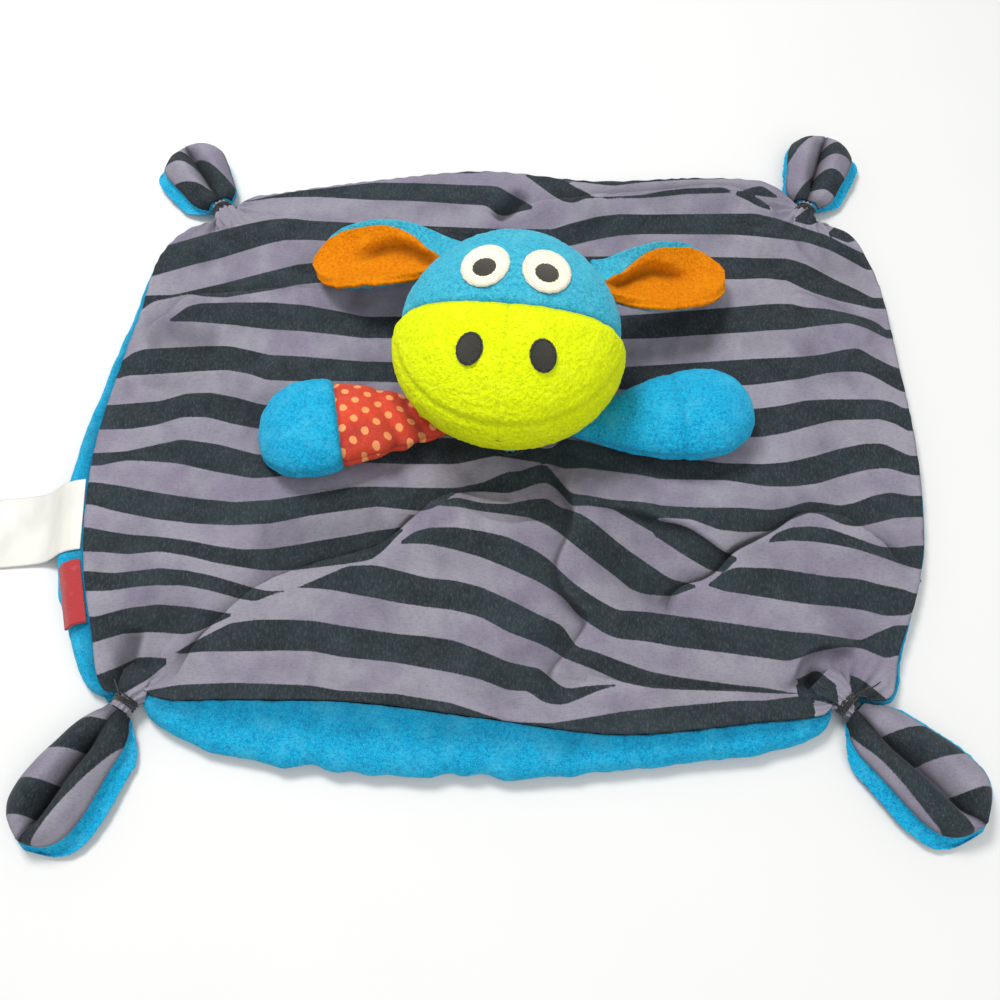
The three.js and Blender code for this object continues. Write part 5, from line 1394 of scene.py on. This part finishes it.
def arm_cover(side, arm, piece, layer):
    """Top or underside of one length of an arm, in plush or in the sleeve's creased cotton."""
    sleeved = side == "left"
    near_head = piece in ("sleeve", "upper")
    start, end, cross = (0, ARM_CROSS_SEAM, "last") if near_head else (ARM_CROSS_SEAM, 1, "first")
    rows = np.linspace(start, end, int((end - start) * ARM_LENGTH / ARM_ROW))
    turns = np.linspace(0, math.pi, ARM_SIDES) + (math.pi if layer == "underside" else 0)
    inside = limb(arm, np.array([ARM_CROSS_SEAM]), np.array([0, math.pi])).mean((0, 1))
    grid = sunk(limb(arm, rows, turns), inside, ["left", "right"], ARM_SEAM_DEPTH, ARM_SEAM_WIDTH)
    grid = sunk(grid, inside, [cross], ARM_SEAM_DEPTH if sleeved else FAINT_SEAM_DEPTH, ARM_SEAM_WIDTH)
    # Painted shade along the cross seam and, on the sleeve, in its creases' valleys
    shade = (0.35 if sleeved else 0.16) * bell(distance_from_edges(grid, [cross]), 1.2)
    look, slot = TURQUOISE, "turquoise_plush"
    if piece == "sleeve":
        look, slot = DOTTED, "dotted_cotton"
        along = rows[:, None] * ARM_LENGTH
        crease = np.sin(along * 0.55 + 1.6 * np.sin(turns * 2 + 0.6))
        crease = crease * bell(along - CREASES_FROM_ROOT, CREASE_REACH)
        grid = lifted(grid, inside, SLEEVE_CREASE * crease + 0.4 * noise_at(grid, 5, 2.7))
        shade = shade + 0.4 * np.clip(-crease, 0, 1) ** 2
    else:
        grid = pile_on(grid, inside, 0.25, 0.35, 1.7)
    if piece == "paw":
        gap = distance_from_edges(grid, [cross])
        grid = lifted(grid, inside, PAW_SWELL * (1 - np.exp(-gap / 2.2)) * np.exp(-gap / 16))
    grid[..., 2] = np.maximum(grid[..., 2], ARM_FLOOR)
    return make_grid(f"{piece}_{side}_{layer}", grid, look, f"arm_{side}", slot,
                     stands_for=[f"arm_{side}_{piece}_{layer}"], away_from=inside, shade=shade)


arm_pieces = []
for side, arm in ARMS.items():
    for piece in ARM_PIECES[side]:
        arm_pieces += [arm_cover(side, arm, piece, layer) for layer in ("top", "underside")]
    grid = limb(arm, ARM_FILLING, once_round(48)[0], ARM_FILLING_INSET)
    arm_pieces.append(filling(f"arm_filling_{side}", grid, f"arm_{side}", f"arm_{side}_stuffing"))

# Labels caught in the left seam. Each row is how far out it lies and how high, in seam heights
CARE_LABEL = {"place": -0.118, "width": 30, "length": 52, "thickness": 0.5, "rows": [
    (0, 0.83), (0.08, 0.79), (0.16, 0.66), (0.24, 0.4), (0.32, 0.17), (0.44, 0.08), (0.75, 0.07), (1, 0.17)]}
SIDE_TAB = {"place": -0.234, "width": 26, "length": 8.8, "thickness": 1.0, "rows": [
    (0, 0.85), (0.35, 0.87), (0.7, 0.81), (1, 0.62)]}
LABEL_TUCK = 0.9
LABEL_OVER_TABLE = 0.1


def ribbon(node, facts, look, slot, wave):
    """A ribbon that leaves the left seam at right angles and falls to the table."""
    line = EDGES["left"][0]
    y = facts["place"] * BLANKET_DEPTH
    k = int(np.argmax(line[:, 1] < y))
    start, end = line[k - 1], line[k]
    point = start + (end - start) * (y - start[1]) / (end[1] - start[1])
    near, far = line[max(0, k - 8)], line[k + 8]
    yaw = math.degrees(math.atan2(near[1] - far[1], near[0] - far[0])) - 90
    rows = curve_points([(-out * facts["length"], rise * SEAM_RISE) for out, rise in facts["rows"]], 60)
    out, rise = rows[:, :1], rows[:, 1:]
    across = np.linspace(-0.5, 0.5, 40)[None, :] * facts["width"]
    lift = wave * np.sin(across / 7 + out / 9) * smoothstep(-out, 4, 20)
    grid = turned(np.stack([out + 0 * across, across + 0 * out, rise + lift], -1), yaw)
    grid += point * TO_TABLE - LABEL_TUCK * way(yaw)
    grid[..., 2] = np.maximum(grid[..., 2], facts["thickness"] + LABEL_OVER_TABLE)
    return make_grid(f"{node}_ribbon", grid, look, node, slot, stands_for=[node], away_from=BELOW,
                     thickness=facts["thickness"])


care_label = ribbon("care_label", CARE_LABEL, SATIN, "white_satin", 0.35)
side_tab = ribbon("side_tab", SIDE_TAB, RED_RIBBON, "red_ribbon", 0.1)

# Table and light
FLOOR_HALF = 3.0
FLOOR_DROP = 0.03


def make_floor():
    look = Look("table_top")
    clouds = look.noise(60, 2)
    grain = look.noise(1.2, 2)
    colour = look.mix(look.scaled(clouds, 0.5), linear(214, 214, 212), linear(218, 218, 216))
    mesh = bpy.data.meshes.new("floor")
    corners = [(FLOOR_HALF * x, FLOOR_HALF * y, 0) for x, y in ((-1, -1), (1, -1), (1, 1), (-1, 1))]
    mesh.from_pydata(corners, [], [(0, 1, 2, 3)])
    mesh.materials.append(look.finish(colour, [(grain, 0.05, 0.2)], (grain, 0.1, 0.5)))
    floor = in_scene("floor", mesh)
    floor.location.z = -FLOOR_DROP * MM


def add_light(name, place, aim, size, power):
    data = bpy.data.lights.new(name, "AREA")
    data.size = size
    data.energy = power
    light = in_scene(name, data)
    light.location = place
    light.rotation_euler = (Vector(aim) - Vector(place)).to_track_quat("-Z", "Y").to_euler()


def make_world():
    world = bpy.data.worlds.new("studio")
    world.use_nodes = True
    background = world.node_tree.nodes["Background"]
    background.inputs[0].default_value = (1, 1, 1, 1)
    background.inputs[1].default_value = 0.6
    bpy.context.scene.world = world
    bpy.context.scene.view_settings.view_transform = "Standard"


make_floor()
make_world()
add_light("key", (-0.34, 0.4, 1.0), (0, 0.02, 0), 0.35, 10)
add_light("fill", (0.35, -0.7, 0.9), (0, 0, 0), 0.9, 5)
